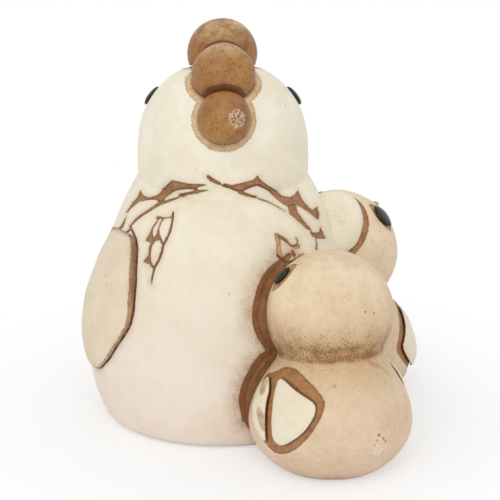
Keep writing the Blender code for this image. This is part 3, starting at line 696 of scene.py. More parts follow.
sponged.links.new(mixed(sponged, dotted, filmed, given["Dot"]), result["Color"])


def by_mark(name, wider=0.0):
    """For an input of a node: a distance kept on the mesh, taken so much wider."""
    def read(tree):
        found = add(tree, "ShaderNodeAttribute", attribute_name=name).outputs["Fac"]
        return calc(tree, "ADD", found, wider) if wider else found
    return read


def by_height(low, high, shades):
    """For an input of a node: a colour that changes with height in metres, by shares of the way up."""
    def shade(tree):
        where = add(tree, "ShaderNodeTexCoord").outputs["Object"]
        up = add(tree, "ShaderNodeSeparateXYZ", {0: where}).outputs[2]
        ramp = add(tree, "ShaderNodeValToRGB", {0: ramped(tree, up, low, high)})
        ramp.color_ramp.elements[0].color = shades[0.0]
        ramp.color_ramp.elements[1].color = shades[1.0]
        for place in sorted(shades)[1:-1]:
            ramp.color_ramp.elements.new(place).color = shades[place]
        return ramp.outputs[0]
    return shade


def ceramic(name, clay, *washes, roughness=0.5, coat=0.12, coat_roughness=0.35, specular=0.35, relief=0.00006,
            rougher=0.0):
    """A fired clay material: its grained ground, and the washes over it in turn, rougher where they lie."""
    material = bpy.data.materials.new(name)
    material.use_nodes = True
    tree = material.node_tree
    shader = tree.nodes["Principled BSDF"].inputs
    shader["Roughness"].default_value = roughness
    shader["Specular IOR Level"].default_value = specular
    shader["Coat Weight"].default_value = coat
    shader["Coat Roughness"].default_value = coat_roughness
    fired = add(tree, "ShaderNodeGroup", clay, node_tree=grain).outputs
    colour = fired["Color"]
    for kind, inputs in washes:
        laid = add(tree, "ShaderNodeGroup", {"Ground": colour, **inputs}, node_tree=kind).outputs
        colour = laid["Color"]
        if kind is brushed:
            mask = laid["Mask"]
    tree.links.new(colour, shader["Base Color"])
    bump = add(tree, "ShaderNodeBump", {"Height": fired["Height"], "Distance": relief, "Strength": 1.0})
    tree.links.new(bump.outputs[0], shader["Normal"])
    if rougher:
        tree.links.new(ramped(tree, mask, 0.0, 1.0, roughness, roughness + rougher), shader["Roughness"])
    return material


WASH_ROUGHER = 0.12
LINE_WASH = tint(154, 104, 58)
LINE_CORE = tint(100, 50, 14)
HALO_WASH = tint(222, 190, 142)
EYE_WASH = tint(200, 150, 95)

# The cream ground changes with height as painted light and shade: lightest on her head, where light falls
# from above, darker low on her body, and lighter and pinker again at her foot.
cream = ceramic(
    "cream fired clay",
    {"Ground": by_height(0.0, 0.1, {0.0: tint(240, 226, 212), 0.35: tint(234, 224, 205),
                                    0.65: tint(239, 231, 208), 1.0: tint(243, 238, 219)}),
     "Deep": tint(222, 203, 174), "Mottle": 0.45, "Specks": 0.25},
    (sponged, {"Reach": by_mark("wash_mm", 2.4), "Fade": 3.0, "Wash": tint(186, 148, 106), "Film": 0.3,
               "Dots": 0.12}),
    (brushed, {"Reach": by_mark("halo_mm"), "Crease": by_mark("halo_mm", 0.3 - HALO_WIDTH), "Wash": HALO_WASH,
               "Core": tint(150, 100, 52), "Ragged": 1.1, "Rim": 0.5}),
    (sponged, {"Reach": by_mark("halo_mm", 1.3 - HALO_WIDTH), "Fade": 1.3, "Wash": tint(168, 122, 74),
               "Film": 0.75, "Dots": 0.3}),
    (brushed, {"Reach": by_mark("eye_mm"), "Wash": EYE_WASH, "Core": LINE_CORE, "Ragged": 0.2, "Rim": 0.8}),
    (sponged, {"Reach": by_mark("dust_mm", GROOVE_FILM_WIDTH), "Fade": GROOVE_FILM_WIDTH, "Wash": tint(168, 128, 84),
               "Dot": tint(164, 128, 90), "Film": 0.4, "Dots": 0.4}),
    (brushed, {"Reach": by_mark("tan_mm"), "Wash": tint(196, 156, 108), "Core": LINE_WASH, "Ragged": 0.5,
               "Rim": 0.7}),
    (brushed, {"Reach": by_mark("wash_mm"), "Crease": by_mark("crease_mm"), "Wash": LINE_WASH,
               "Core": LINE_CORE}),
    (sponged, {"Reach": by_mark("dust_mm"), "Fade": 1.1, "Wash": tint(110, 54, 6), "Film": 0.8, "Dots": 0.3}),
    rougher=WASH_ROUGHER)
piece("hen_casting", hen_mesh, cream, "cream_body", "hen_shell")

# The comb: three balls of clay pressed on over the crown, each against the next, and luted with slip.
# They are sponged with brown wash, which pools darker where a ball meets the head or its neighbour.
# A few white specks dot the rear ball: painted highlights that stand for glints off its glaze.
DARK_BANDS = {("comb_middle", "comb_rear"): 1.8, ("comb_front", "comb_middle"): 2.6,
              ("comb_rear", "comb_middle"): 0.4}
THIN_BAND = 0.2
SEAM_WIDTH = 0.3
POOL_WIDTH = 2.6
COMB_LUMPS = (11.0, 0.18)
GLINT_DIRECTION = np.array([-0.50, 0.82, 0.20])
GLINT_RADIUS = 3.2
HALVINGS = 16


def ball(name, radii, around=128, down=84):
    """A fine ball of the given half-sizes."""
    form = bmesh.new()
    bmesh.ops.create_uvsphere(form, u_segments=around, v_segments=down, radius=1.0)
    bmesh.ops.scale(form, vec=radii, verts=form.verts)
    return mesh_of(form, name)


def settled(points, centre, depth_of):
    """Points that lie inside a neighbour, drawn back towards a centre until they rest on its surface."""
    low = np.zeros(len(points))
    high = np.ones(len(points))
    for _ in range(HALVINGS):
        share = (low + high) / 2
        inside = depth_of(centre + (points - centre) * share[:, None]) > 0.0
        high = np.where(inside, share, high)
        low = np.where(inside, low, share)
    drawn_back = centre + (points - centre) * low[:, None]
    return np.where((depth_of(points) > 0.0)[:, None], drawn_back, points)


# Painted highlights: white specks that stand for glints off the glaze, on the comb's rear ball and the
# chicks.
GLINTS = (sponged, {"Reach": by_mark("glint_mm"), "Fade": 1.0, "Dot": tint(255, 252, 244), "Film": 0.0,
                    "Dots": 0.5})
# The comb's brown is painted lighter towards its top, painted light from above.
comb_brown = ceramic(
    "comb brown",
    {"Ground": by_height(0.1015, 0.1075, {0.0: tint(176, 126, 68), 1.0: tint(226, 190, 142)}),
     "Deep": tint(128, 76, 30), "Mottle": 0.9, "Specks": 0.0, "Pepper": 0.62},
    (sponged, {"Reach": by_mark("pool_mm"), "Fade": 3.0, "Wash": tint(128, 74, 28), "Film": 0.75,
               "Dots": 0.6}),
    GLINTS,
    (brushed, {"Reach": -4.0, "Crease": by_mark("seam_mm"), "Wash": LINE_WASH, "Core": tint(80, 28, 0)}),
    roughness=0.46, coat=0.06, relief=0.0001)


def comb_gap(spots, name):
    """How far outside a ball of the comb each spot lies."""
    return np.linalg.norm(spots - comb_centres[name], axis=1) - COMB_BALLS[name][0]


for name, (radius, _) in COMB_BALLS.items():
    mesh = ball(name, (radius, radius, radius))
    centre = comb_centres[name]
    points = settled(lumpy(mesh, places(mesh) + centre, COMB_LUMPS), centre, hen_depth)
    closeness = hen_depth(points)
    seam = closeness + SEAM_WIDTH
    for other in COMB_BALLS:
        if other != name:
            gap = comb_gap(points, other)
            closeness = np.maximum(closeness, -gap)
            seam = np.maximum(seam, DARK_BANDS.get((name, other), THIN_BAND) - gap)
    if name != "comb_middle":
        points = settled(points, centre, lambda spots: -comb_gap(spots, "comb_middle"))
    put(mesh, points)
    glint = -FAR
    if name == "comb_rear":
        glint = GLINT_RADIUS - np.linalg.norm(points - centre - GLINT_DIRECTION * radius, axis=1)
    mark(mesh, glint_mm=glint, pool_mm=closeness + POOL_WIDTH, seam_mm=seam)
    piece(name + "_ball", mesh, comb_brown, "comb_brown", name)

# The hen's face: glossy black glass-like beads for eyes, a pinched beak and two wattles under it.
# The photograph doesn't show the beak or the wattles, so they take the plain form that such hens have.
HEN_EYE_RADIUS = 3.2
HEN_EYE_BULGE = 1.0
HEN_EYE_NARROW = 0.86
HEN_BEAK_LENGTH = 8.5
HEN_BEAK_RADIUS = 4.6
HEN_BEAK_ELEVATION = 17.0
WATTLE_RADII = (3.2, 2.8, 5.0)
WATTLE_ELEVATION = -10.0
SEAM_GAP = 0.3
WATTLE_TAPER = 0.28
BEAD_TAPER = 0.3
WATTLE_POOL_WIDTH = 1.6
WATTLE_SEAM_WIDTH = 0.2
BEAK_STEPS = 72
BEAK_RINGS = 40
BEAK_BREADTH = 1.35
BEAK_UPPER_SHARE = 0.95
BEAK_LOWER_SHARE = 0.8
BEAK_POOL_WIDTH = 0.7
MOUTH_DROP = 0.05
MOUTH_START = 0.3
MOUTH_HALF_WIDTH = 0.3
MOUTH_DEPTH = 0.25
MOUTH_EDGE = 0.4
MOUTH_LINE_INSET = 0.1


def stood(points, place, direction):
    """Points stood at a place with their own +Z along a direction, and their +Y as upright as it goes."""
    across, upright = axes_round(direction)
    return place + points[:, :1] * across + points[:, 1:2] * upright + points[:, 2:] * direction


eye_black = ceramic(
    "black eye glaze", {"Ground": tint(22, 17, 13), "Deep": tint(46, 35, 26), "Mottle": 0.5, "Specks": 0.0},
    roughness=0.3, coat_roughness=0.1, specular=0.25, relief=0.00001)


def eye(name, place, direction, radius, bulge, narrow):
    """A glazed bead, a little narrower than it is tall and drawn in towards its upper and lower ends."""
    mesh = ball(name, (radius, radius, bulge), around=64, down=40)
    points = places(mesh)
    points[:, 0] *= narrow * (1.0 - BEAD_TAPER * (points[:, 1] / radius) ** 2)
    put(mesh, stood(points, place, direction))
    piece(name + "_bead", mesh, eye_black, "eye_black", name)


for side, azimuth in HEN_EYE_AZIMUTHS.items():
    eye("hen_eye_" + side, head_place(azimuth, HEN_EYE_ELEVATION), facing(azimuth, HEN_EYE_ELEVATION),
        HEN_EYE_RADIUS, HEN_EYE_BULGE, HEN_EYE_NARROW)

beak_brown = ceramic(
    "beak brown",
    {"Ground": tint(196, 150, 98), "Deep": tint(160, 112, 66), "Mottle": 0.8, "Specks": 0.4, "Pepper": 0.4},
    (brushed, {"Reach": by_mark("pool_mm"), "Crease": by_mark("seam_mm"), "Wash": tint(140, 92, 50),
               "Core": tint(84, 48, 24), "Ragged": 1.2, "Rim": 0.0}),
    roughness=0.42, coat=0.25)


def beak(name, place, direction, length, radius, depth_of):
    """A pinched cone with a blunt tip and the line of the mouth scored round its sides."""
    profile = [(0.0, -radius)]
    for ring in range(BEAK_RINGS):
        along = ring / BEAK_RINGS
        thinned = (1.0 - along ** 1.5) ** 0.75
        profile.append((BEAK_BREADTH * radius * thinned, along * (length + radius) - radius))
    mesh = mesh_of(turned(profile + [(0.0, length)], BEAK_STEPS), name)
    points = places(mesh)
    points[:, 1] *= np.where(points[:, 1] > 0.0, BEAK_UPPER_SHARE, BEAK_LOWER_SHARE)
    beside = np.abs(points[:, 1] + MOUTH_DROP * radius)
    mouth = np.where(np.abs(points[:, 0]) > MOUTH_START * radius, MOUTH_HALF_WIDTH - beside, -1.0)
    stood_points = stood(points, place, direction)
    put(mesh, stood_points)
    stood_points -= outward(mesh) * sunk(mouth + MOUTH_EDGE / 2, MOUTH_DEPTH, MOUTH_EDGE)[:, None]
    put(mesh, stood_points)
    mark(mesh, pool_mm=depth_of(stood_points) + BEAK_POOL_WIDTH, seam_mm=mouth - MOUTH_LINE_INSET)
    piece(name + "_cone", mesh, beak_brown, "beak_brown", name)


beak("hen_beak", head_place(-90.0, HEN_BEAK_ELEVATION), facing(-90.0, HEN_BEAK_ELEVATION), HEN_BEAK_LENGTH,
     HEN_BEAK_RADIUS, hen_depth)
chin = head_place(-90.0, WATTLE_ELEVATION)
for side, sign in (("left", 1.0), ("right", -1.0)):
    name = "hen_wattle_" + side
    mesh = ball(name, WATTLE_RADII, around=72, down=48)
    points = places(mesh)
    points[:, :2] *= 1.0 - WATTLE_TAPER * points[:, 2:] / WATTLE_RADII[2]
    points += chin + np.array([sign * (WATTLE_RADII[0] + SEAM_GAP / 2), 0.0, 0.0])
    put(mesh, points)
    closeness = hen_depth(points)
    mark(mesh, glint_mm=-FAR, pool_mm=closeness + WATTLE_POOL_WIDTH, seam_mm=closeness + WATTLE_SEAM_WIDTH)
    piece(name + "_drop", mesh, comb_brown, "comb_brown", name)

# The hen's folded left wing: a flat leaf of clay laid on her side, its rim rounded with a wet finger.
# Brown wash is brushed along its rear edge, broad at the shoulder and thin towards the tip.
WING_THICKNESSES = [(20.0, 2.5), (27.0, 2.2), (34.0, 1.6), (41.0, 0.8), (50.0, 0.7)]
WING_FRONT_EDGE = [(10.5, 19.3), (4.5, 24.5), (-0.5, 33.5), (-3.0, 41.0), (-0.8, 47.6), (4.8, 52.2),
                   (11.6, 54.4)]
WING_BAND_SHARES = [(0.0, 1.1), (0.15, 1.9), (0.34, 1.9), (0.44, 1.3), (0.55, 0.8), (0.68, 0.5), (1.0, 0.35)]
WING_MIDDLE = (14.0, 37.0)
WING_PROUD = 0.8
WING_LUMPS = (14.0, 0.25)
WING_SEAM_WIDTH = 0.25
LEAF_SUNK = 0.5


def hen_side(chart, grow=0.0):
    """Places on the hen's left side, from a chart of y and height."""
    half_width, half_depth, middle = hen_section(chart[:, 1], grow)
    across = half_width * np.sqrt(np.maximum(1.0 - ((chart[:, 0] - middle) / half_depth) ** 2, 0.0))
    return np.stack((across, chart[:, 0], chart[:, 1]), axis=1)


def skin_normals(skin, chart):
    """Unit directions straight out of a skin at points of its chart."""
    step = 0.05
    first = skin(chart + np.array([step, 0.0])) - skin(chart - np.array([step, 0.0]))
    second = skin(chart + np.array([0.0, step])) - skin(chart - np.array([0.0, step]))
    straight_out = np.cross(first, second)
    return straight_out / np.maximum(np.linalg.norm(straight_out, axis=1), 1e-9)[:, None]


def leaf(name, skin, marks, thicknesses, middle, around, down):
    """A pad of clay laid on a skin, with a rounded rim along a smooth closed outline."""
    mesh = ball(name, (1.0, 1.0, 1.0), around, down)
    unit = places(mesh)
    outline = drawn(marks, closed=True)[:, :2]
    from_middle = outline - np.array(middle)
    angles = np.arctan2(from_middle[:, 1], from_middle[:, 0])
    order = np.argsort(angles)
    lengths = np.linalg.norm(from_middle, axis=1)
    angle = np.arctan2(unit[:, 1], unit[:, 0])
    reach = np.interp(angle, angles[order], lengths[order], period=2 * pi)
    share = np.hypot(unit[:, 0], unit[:, 1])
    chart = np.array(middle) + np.stack((np.cos(angle), np.sin(angle)), axis=1) * (share * reach)[:, None]
    thickness = np.interp(chart[:, 1], *np.transpose(thicknesses))
    rise = np.where(unit[:, 2] >= 0.0, thickness * np.sqrt(np.maximum(1.0 - share ** 5, 0.0)),
                    -LEAF_SUNK * np.sqrt(np.maximum(1.0 - share ** 4, 0.0)))
    put(mesh, skin(chart) + skin_normals(skin, chart) * rise[:, None])
    return mesh


wing_cream = ceramic(
    "wing cream clay",
    {"Ground": tint(231, 215, 189), "Deep": tint(210, 187, 153), "Mottle": 0.5, "Specks": 0.35},
    (brushed, {"Reach": by_mark("wash_mm"), "Crease": by_mark("crease_mm"), "Wash": tint(172, 132, 88),
               "Core": LINE_CORE, "Ragged": 0.8, "Rim": 0.15}),
    rougher=WASH_ROUGHER)

rear_edge = hen_skin(np.array(WING_EDGE_LINE)[:, :2])[:, 1:]
wing_outline = [*rear_edge[1:], *WING_FRONT_EDGE]
mesh = leaf("hen_wing", hen_side, wing_outline, WING_THICKNESSES, WING_MIDDLE, around=200, down=56)
points = places(mesh)
band = drawn(WING_EDGE_LINE)
band_width = np.interp(np.linspace(0.0, 1.0, len(band)), *np.transpose(WING_BAND_SHARES))
wash = brush_reach(points, hen_skin(band, WING_PROUD), band_width)
points = lumpy(mesh, points, WING_LUMPS)
put(mesh, points)
mark(mesh, wash_mm=wash, crease_mm=hen_depth(points) + WING_SEAM_WIDTH)
piece("hen_wing_left_leaf", mesh, wing_cream, "wing_cream", "hen_wing_left")

# The chicks' castings: two hollow pears of pale tan clay from one mould, vented in the foot.
# Brown wash is sponged into the neck and along the joint with the hen, and brushed round the wings.
# Painted shade darkens the lower heads and the crease of the neck.
CHICK_VENT_RADIUS = 3.2
CHICK_VENT_EDGE = 0.1
CHICK_VENT_SHIFT = 8.5
CHICK_STEPS = 300
CHICK_FOOT_RINGS = (14.0, 13.0, 11.0, 7.5, 4.5, 3.6, 3.25, 3.15, 3.0, 1.5, 0.0)
CHICK_TOP_ANGLES = (radians(2.0), radians(86.0))
CHICK_TOP_RINGS = 50
CHICK_SIDE_RINGS = 120
CHICK_EYE_TURN = 64.0
CHICK_EYE_ELEVATION = 41.0
CHICK_ALMOND = (5.0, 3.1)
CHICK_GROOVE_DEPTH = 0.35
CHICK_LUMPS = [(15.0, 0.22), (6.0, 0.06)]
HEN_CONTACT = 1.3
JOINT_LINE_INSET = 1.0
PAD_LINE_SPREAD = 0.1
WING_CONTACT = 1.5
NECK_ABOVE = {"rear": 13.0, "front": 4.0}
NECK_BELOW = 3.6
NAPE_LIFT = 2.8
NAPE_TURN = 162.0
NAPE_REACH = 9.0
FOLD_Z = 30.0
CHICK_INSET = 0.06
FOLD_WIDTH = 1.6
FOLD_RISE = 0.6
# Painted shade along the neck's crease, carried on over the rear chick's right shoulder, as (azimuth, height,
# half-width).
FOLD_SHADES = {"rear": [[(126.0, 30.2, 1.2), (136.0, 28.6, 1.3), (147.0, 27.8, 1.3), (157.0, 26.2, 1.0),
                         (160.0, 25.0, 0.6)]], "front": []}
# Pits are (azimuth, height, radius): small dark holes in the rear chick's glaze.
PITS = {"rear": [(124.4, 14.6, 0.5), (122.2, 13.2, 0.35), (127.6, 13.4, 0.45), (129.4, 12.4, 0.4),
                 (120.6, 11.9, 0.3), (123.3, 45.5, 0.4), (133.0, 44.6, 0.35), (121.5, 42.5, 0.3),
                 (129.9, 41.5, 0.3)], "front": []}
# A painted highlight: white specks round this place on each chick stand for glints off the glaze.
GLINT_PLACE = (123.4, 10.6)
CHICK_GLINT_RADIUS = 2.2
WING_RING = [(84.6, 28.1), (106.0, 28.6), (122.9, 26.9), (134.7, 25.0), (140.2, 23.2), (137.3, 19.7),
             (129.7, 15.0), (120.6, 11.2), (110.3, 8.7), (99.9, 8.3), (90.5, 10.6), (78.9, 13.2),
             (70.3, 16.1), (63.8, 19.3), (59.6, 22.3), (61.3, 25.0)]
WING_LOBE = [(88.7, 26.4), (101.6, 26.3), (117.8, 24.9), (131.5, 23.4), (133.6, 21.4), (130.3, 18.3),
             (123.9, 15.2), (111.2, 11.5), (103.4, 12.3), (99.1, 15.9), (95.9, 19.4), (91.4, 23.3)]
WING_CRESCENT = [(70.3, 25.2), (64.5, 22.1), (67.1, 18.9), (73.3, 16.0), (82.5, 12.9), (93.0, 11.0),
                 (95.8, 11.4), (93.2, 15.6), (87.4, 20.1), (83.0, 23.2)]
RAISED_WING_RADII = (9.0, 10.6, 5.0)
RAISED_WING_PROUD = 2.2
RAISED_WING_AZIMUTH = 78.0
RAISED_WING_ELEVATION = 49.0
raised_out = facing(RAISED_WING_AZIMUTH, RAISED_WING_ELEVATION)
raised_centre = chick_head(CHICKS["front"]) + raised_out * (
    CHICK_HEAD_RADIUS + RAISED_WING_PROUD - RAISED_WING_RADII[2])


def raised_wing_depth(points):
    """How deep points lie inside the hen's raised wing, in millimetres. Outside it is negative."""
    across, upright = axes_round(raised_out)
    offset = points - raised_centre
    scaled = np.stack((offset @ across, offset @ upright, offset @ raised_out), axis=1) / RAISED_WING_RADII
    level = np.linalg.norm(scaled, axis=1)
    reach = np.linalg.norm(offset, axis=1) / np.maximum(level, 0.01)
    return (1.0 - level) * reach


# How each wing differs from the drawn one: breadth as a share, tilt and turn in degrees, and rise.
WING_FITS = {("rear", "left"): (1.0, 0.0, 0.0, 0.0), ("rear", "right"): (0.6, 0.0, -14.0, 0.0),
             ("front", "right"): (1.0, -12.0, -6.0, -4.0)}
WING_HUB = (105.0, 18.5)
MM_PER_DEGREE = 0.38


def on_side(word, side, marks):
    """Wing marks, given by turns from the way a chick faces, as azimuths and heights of one of its wings."""
    breadth, tilt, turn_shift, rise = WING_FITS[word, side]
    sign = 1.0 if side == "left" else -1.0
    fitted = []
    for turn, height, *rest in marks:
        across = (turn - WING_HUB[0]) * breadth * MM_PER_DEGREE
        up = height - WING_HUB[1]
        leaned = across * cos(radians(tilt)) - up * sin(radians(tilt))
        lifted = up * cos(radians(tilt)) + across * sin(radians(tilt))
        reach = WING_HUB[0] + turn_shift + leaned / MM_PER_DEGREE
        fitted.append((CHICKS[word]["facing"] + sign * reach, WING_HUB[1] + rise + lifted, *rest))
    return fitted


# The tan ground changes with height as painted light and shade: lightest on the heads, darkest at the neck
# and
# lighter again at the foot. The first, wide tan film round the neck is painted shade on the lower head, the
# second is the sponged brown wash with its dots, and the third is painted shade in the crease of the neck.
chick_tan = ceramic(
    "chick tan clay",
    {"Ground": by_height(0.0, 0.06, {0.0: tint(229, 204, 178), 0.5: tint(222, 197, 162),
                                     1.0: tint(238, 218, 186)}),
     "Deep": tint(202, 168, 128), "Mottle": 0.55, "Specks": 0.5, "Pepper": 0.12},
    (sponged, {"Reach": by_mark("neck_mm", 5.0), "Fade": 9.0, "Wash": tint(196, 158, 112), "Film": 0.45,
               "Dots": 0.1}),
    (sponged, {"Reach": by_mark("neck_mm"), "Fade": 11.0, "Wash": tint(166, 116, 58), "Film": 0.66,
               "Dots": 0.8}),
    (sponged, {"Reach": by_mark("fold_mm"), "Fade": 1.6, "Wash": tint(128, 80, 38), "Film": 0.6,
               "Dots": 0.3}),
    GLINTS,
    (brushed, {"Reach": by_mark("eye_mm"), "Wash": EYE_WASH, "Core": LINE_CORE, "Ragged": 0.4, "Rim": 1.0}),
    (brushed, {"Reach": by_mark("wash_mm"), "Crease": by_mark("crease_mm"), "Wash": tint(160, 108, 54),
               "Core": LINE_CORE, "Ragged": 0.6, "Rim": 0.5}),
    coat=0.1, relief=0.00008, rougher=WASH_ROUGHER)


def eye_directions(chick):
    """Unit directions from the centre of a chick's head to its left and right eyes."""
    return [facing(chick["head_facing"] + turn, CHICK_EYE_ELEVATION)
            for turn in (CHICK_EYE_TURN, -CHICK_EYE_TURN)]


for word, chick in CHICKS.items():
    skin = partial(chick_skin, chick)
    head = chick_head(chick)
    top = chick["head_z"] + CHICK_HEAD_RADIUS
    top_low = chick["head_z"] + CHICK_HEAD_RADIUS * cos(CHICK_TOP_ANGLES[1])
    heights = rounded_top(chick["head_z"], CHICK_HEAD_RADIUS, *CHICK_TOP_ANGLES, CHICK_TOP_RINGS)
    heights += heights_down(top_low, [(0.0, CHICK_SIDE_RINGS)])
    mesh = rough_casting("chick_casting_" + word, [(0.0, top)], heights, CHICK_FOOT_RINGS, CHICK_STEPS)
    rough = places(mesh)
    chart = np.stack((np.degrees(np.arctan2(rough[:, 1], rough[:, 0])), rough[:, 2]), axis=1)
    on_skin = skin(chart)
    outwards = chick["base"] - np.array([0.0, BODY_CENTRE_Y, 0.0])
    vent_shift = outwards / np.linalg.norm(outwards) * CHICK_VENT_SHIFT
    points = cast(rough, on_skin, chick["base"], chart[:, 0], CHICK_FOOT_RINGS[0], CHICK_VENT_RADIUS,
                  CHICK_VENT_EDGE, vent_shift)
    pole = rough[:, 2] > top - 0.0001
    points[pole] = head + UP * CHICK_HEAD_RADIUS
    put(mesh, points)
    against_hen = HEN_CONTACT + hen_depth(points)
    washes = [against_hen]
    creases = [against_hen - JOINT_LINE_INSET]
    for fitted, side in WING_FITS:
        if fitted == word:
            ring = on_side(word, side, WING_RING)
            middle = ring[0][0]
            turns = (chart[:, 0] - middle + 180.0) % 360.0 - 180.0 + middle
            wing_chart = np.stack((turns, chart[:, 1]), axis=1)
            washes.append(patch_reach(points, wing_chart, skin, ring))
            creases += [PAD_LINE_SPREAD + patch_reach(points, wing_chart, skin, on_side(word, side, marks))
                        for marks in (WING_LOBE, WING_CRESCENT)]
    if word == "front":
        washes.append(WING_CONTACT + raised_wing_depth(points))
    for azimuth, height, radius in PITS[word]:
        creases.append(brush_reach(points, skin(np.array([[azimuth, height]])), radius))
    wash = widest(washes)
    eyes = widest(almond(points, head + out * CHICK_HEAD_RADIUS, out, *CHICK_ALMOND)
                  for out in eye_directions(chick))
    glint = CHICK_GLINT_RADIUS - np.linalg.norm(points - skin(np.array([GLINT_PLACE])), axis=1)
    over_fold = points[:, 2] - FOLD_Z
    neck = np.where(over_fold > 0.0, NECK_ABOVE[word] - over_fold, NECK_BELOW + over_fold)
    # A band of painted shade along the crease of the neck, and the strokes that carry it on.
    shades = [drawn(marks) for marks in FOLD_SHADES[word]]
    fold = widest([FOLD_WIDTH - np.abs(over_fold - FOLD_RISE),
                   *(brush_reach(on_skin, skin(line), line[:, 2]) for line in shades)])
    nape = np.maximum(np.cos(np.radians(chart[:, 0] - chick["facing"] - NAPE_TURN)), 0.0)
    sinking = CHICK_INSET + sunk(wash + GROOVE_MARGIN, CHICK_GROOVE_DEPTH, GROOVE_EDGE)
    sinking += sunk(eyes, PAINTED_DEPTH, EYE_EDGE)
    points = lumpy(mesh, points, *CHICK_LUMPS, sinking=sinking)
    points[:, 2] += NAPE_LIFT * nape * step_up(1.0 - np.abs(over_fold) / NAPE_REACH)
    put(mesh, out_of_hen(points))
    mark(mesh, wash_mm=wash, crease_mm=widest(creases), eye_mm=eyes, neck_mm=neck, fold_mm=fold,
         glint_mm=glint)
    piece("chick_casting_" + word, mesh, chick_tan, "chick_tan", "chick_" + word + "_shell")

# The chicks' faces: black glazed beads for eyes, set in almond grooves, and small pinched beaks of clay
# stained brown. Each is pressed on the head while the clay is soft.
CHICK_EYE_SIZES = {"rear": (2.9, 0.6), "front": (3.6, 0.84)}
CHICK_EYE_BULGE = 0.8
CHICK_BEAK_LENGTHS = {"rear": 2.0, "front": 3.6}
CHICK_BEAK_RADIUS = 2.6
for word, chick in CHICKS.items():
    head = chick_head(chick)
    for side, out in zip(("left", "right"), eye_directions(chick)):
        radius, narrow = CHICK_EYE_SIZES[word]
        eye("chick_" + word + "_eye_" + side, head + out * CHICK_HEAD_RADIUS, out, radius, CHICK_EYE_BULGE,
            narrow)
    out = facing(chick["head_facing"], chick["beak_elevation"])
    beak("chick_" + word + "_beak", head + out * CHICK_HEAD_RADIUS, out, CHICK_BEAK_LENGTHS[word],
         CHICK_BEAK_RADIUS, partial(chick_depth, chick))

# The chicks' wings: each is a broad lobe and a crescent of cream clay, luted on inside a ring of brown wash.
# The rims of the pads are rounded, and a little wash is sponged on the crescents.
CHICK_WING_THICKNESSES = [(8.0, 0.9), (26.0, 0.9)]
CHICK_WING_PADS = [("lobe", WING_LOBE, (113.0, 19.5)), ("crescent", WING_CRESCENT, (80.0, 18.6))]
PAD_PROUD = 0.8
PAD_LUMPS = (7.0, 0.15)
PAD_SEAM_WIDTH = 0.2
BLOTCHES = [[(74.0, 24.0, 1.4), (78.0, 22.4, 1.2)], [(84.0, 18.0, 1.0), (89.0, 16.6, 1.2), (94.0, 14.2, 0.7)]]
BLOTCH_SPREAD = 0.3

lobe_cream = ceramic(
    "chick wing cream",
    {"Ground": tint(234, 224, 199), "Deep": tint(214, 198, 168), "Mottle": 0.5, "Specks": 0.1},
    (sponged, {"Reach": by_mark("wash_mm"), "Fade": 0.6, "Wash": tint(170, 126, 76), "Film": 0.85,
               "Dots": 0.2}),
    (brushed, {"Reach": by_mark("crease_mm"), "Crease": by_mark("crease_mm"), "Wash": LINE_WASH,
               "Core": LINE_CORE}))

for word, side in WING_FITS:
    skin = partial(chick_skin, CHICKS[word])
    name = "chick_" + word + "_wing_" + side
    for pad, marks, middle in CHICK_WING_PADS:
        mesh = leaf(name + "_" + pad, skin, on_side(word, side, marks), CHICK_WING_THICKNESSES,
                    on_side(word, side, [middle])[0], around=120, down=40)
        points = lumpy(mesh, out_of_hen(places(mesh)), PAD_LUMPS)
        put(mesh, points)
        blotch = -FAR
        if pad == "crescent":
            lines = [drawn(on_side(word, side, spots)) for spots in BLOTCHES]
            blotch = widest(brush_reach(points, skin(line, PAD_PROUD), line[:, 2] + BLOTCH_SPREAD)
                            for line in lines)
        mark(mesh, wash_mm=blotch, crease_mm=chick_depth(CHICKS[word], points) + PAD_SEAM_WIDTH)
        piece(name + "_" + pad, mesh, lobe_cream, "wing_cream", name)

# The hen's raised right wing: a thick flat lobe of her own cream clay, laid over the front chick's head.
# Its feathers are a few furrows pressed into the outer side.
FURROWS = [[(-5.5, 7.4, 0.2), (-2.5, 7.0, 0.9), (0.5, 5.9, 1.1), (3.6, 3.6, 1.2), (5.3, 1.8, 0.7)],
           [(-3.0, 1.8, 0.3), (0.5, 1.3, 0.9), (3.5, 0.6, 0.4)], [(3.6, -1.2, 0.7), (3.9, -1.6, 0.6)]]
FURROW_DEPTH = 1.1
FURROW_SLOPE = 0.9
FURROW_EDGE = 1.9
RAISED_WING_LUMPS = (9.0, 0.3)
mesh = ball("hen_wing_right", RAISED_WING_RADII, around=160, down=100)
flat = places(mesh)
points = stood(flat, raised_centre, raised_out)
put(mesh, points)
for marks in FURROWS:
    line = drawn(marks)
    furrow = brush_reach(flat * (1.0, 1.0, 0.0), line * (1.0, 1.0, 0.0), line[:, 2])
    pressed = (flat[:, 2] > 0.0) * sunk(furrow + FURROW_SLOPE, FURROW_DEPTH, FURROW_EDGE)
    points -= outward(mesh) * pressed[:, None]
points = lumpy(mesh, points, RAISED_WING_LUMPS)
put(mesh, points)
mark(mesh, wash_mm=chick_depth(CHICKS["front"], points) + PAD_SEAM_WIDTH, crease_mm=-FAR, halo_mm=-FAR,
     eye_mm=-FAR, dust_mm=-FAR, tan_mm=-FAR)
piece("hen_wing_right_lobe", mesh, cream, "cream_body", "hen_wing_right")

# The studio: a pale table that fades into a white backdrop, one broad soft lamp at the upper left and a
# white room, with the camera behind the hen and a little above her.
CAMERA_ELEVATION = 20.0
CAMERA_DISTANCE = 735.0
CAMERA_LENS = 191.5
AIM = np.array([-7.4, 0.0, 43.8])
LAMP_PLACE = (0.14, 0.7, 0.75)
LAMP_WIDTH = 0.7
LAMP_POWER = 2.7
ROOM_LIGHT = 0.79
TABLE_SIZE = 3.0
TABLE_WHITE = (0.96, 0.96, 0.96, 1.0)
TABLE_ROUGHNESS = 0.8
aim = Vector((AIM + AXIS) * MM)

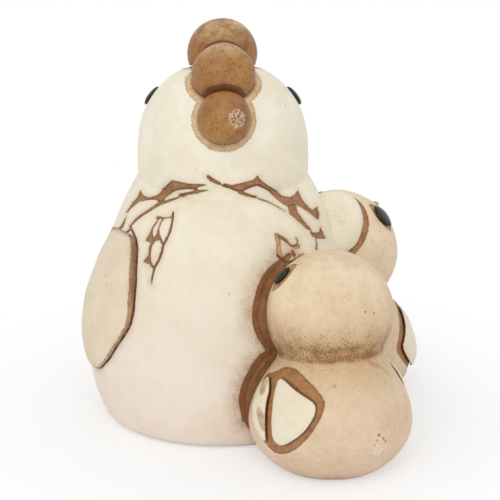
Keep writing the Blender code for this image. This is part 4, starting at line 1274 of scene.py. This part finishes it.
form = bmesh.new()
bmesh.ops.create_grid(form, x_segments=1, y_segments=1, size=TABLE_SIZE)
table = bpy.data.objects.new("table", mesh_of(form, "table"))
bpy.context.scene.collection.objects.link(table)
white = bpy.data.materials.new("white table")
white.use_nodes = True
tree = white.node_tree
shader = tree.nodes["Principled BSDF"]
shader.inputs["Base Color"].default_value = TABLE_WHITE
shader.inputs["Roughness"].default_value = TABLE_ROUGHNESS
out_from_middle = add(tree, "ShaderNodeVectorMath", {0: add(tree, "ShaderNodeTexCoord").outputs["Object"]},
                      operation="LENGTH").outputs["Value"]
light_path = add(tree, "ShaderNodeLightPath").outputs
fade = product(tree, ramped(tree, out_from_middle, 0.04, 0.11, 0.5, 1.0), light_path["Is Camera Ray"])
glow = add(tree, "ShaderNodeEmission", {"Strength": 1.0})
blend = add(tree, "ShaderNodeMixShader", {0: fade, 1: shader.outputs[0], 2: glow.outputs[0]})
tree.links.new(blend.outputs[0], tree.nodes["Material Output"].inputs["Surface"])
table.data.materials.append(white)

world = bpy.data.worlds.new("white room")
bpy.context.scene.world = world
world.use_nodes = True
tree = world.node_tree
light_path = add(tree, "ShaderNodeLightPath").outputs
seen = calc(tree, "MAXIMUM", calc(tree, "MAXIMUM", light_path["Is Camera Ray"], light_path["Is Glossy Ray"]),
            light_path["Is Transmission Ray"])
backdrop = tree.nodes["Background"]
backdrop.inputs["Color"].default_value = (1.0, 1.0, 1.0, 1.0)
tree.links.new(ramped(tree, seen, 0.0, 1.0, ROOM_LIGHT, 1.0), backdrop.inputs["Strength"])


def pointed(name, data, place):
    """Put a lamp or a camera at a place, pointed at the middle of the figurine."""
    made = bpy.data.objects.new(name, data)
    made.location = place
    made.rotation_euler = (made.location - aim).to_track_quat("Z", "Y").to_euler()
    bpy.context.scene.collection.objects.link(made)
    return made


lamp_data = bpy.data.lights.new("soft lamp", "AREA")
lamp_data.shape = "DISK"
lamp_data.size = LAMP_WIDTH
lamp_data.energy = LAMP_POWER
pointed("soft lamp", lamp_data, aim + Vector(LAMP_PLACE))

camera_data = bpy.data.cameras.new("camera")
camera_data.lens = CAMERA_LENS
camera_place = aim + Vector(facing(90.0, CAMERA_ELEVATION)) * CAMERA_DISTANCE * MM
bpy.context.scene.camera = pointed("camera", camera_data, camera_place)
bpy.context.scene.view_settings.view_transform = "Standard"
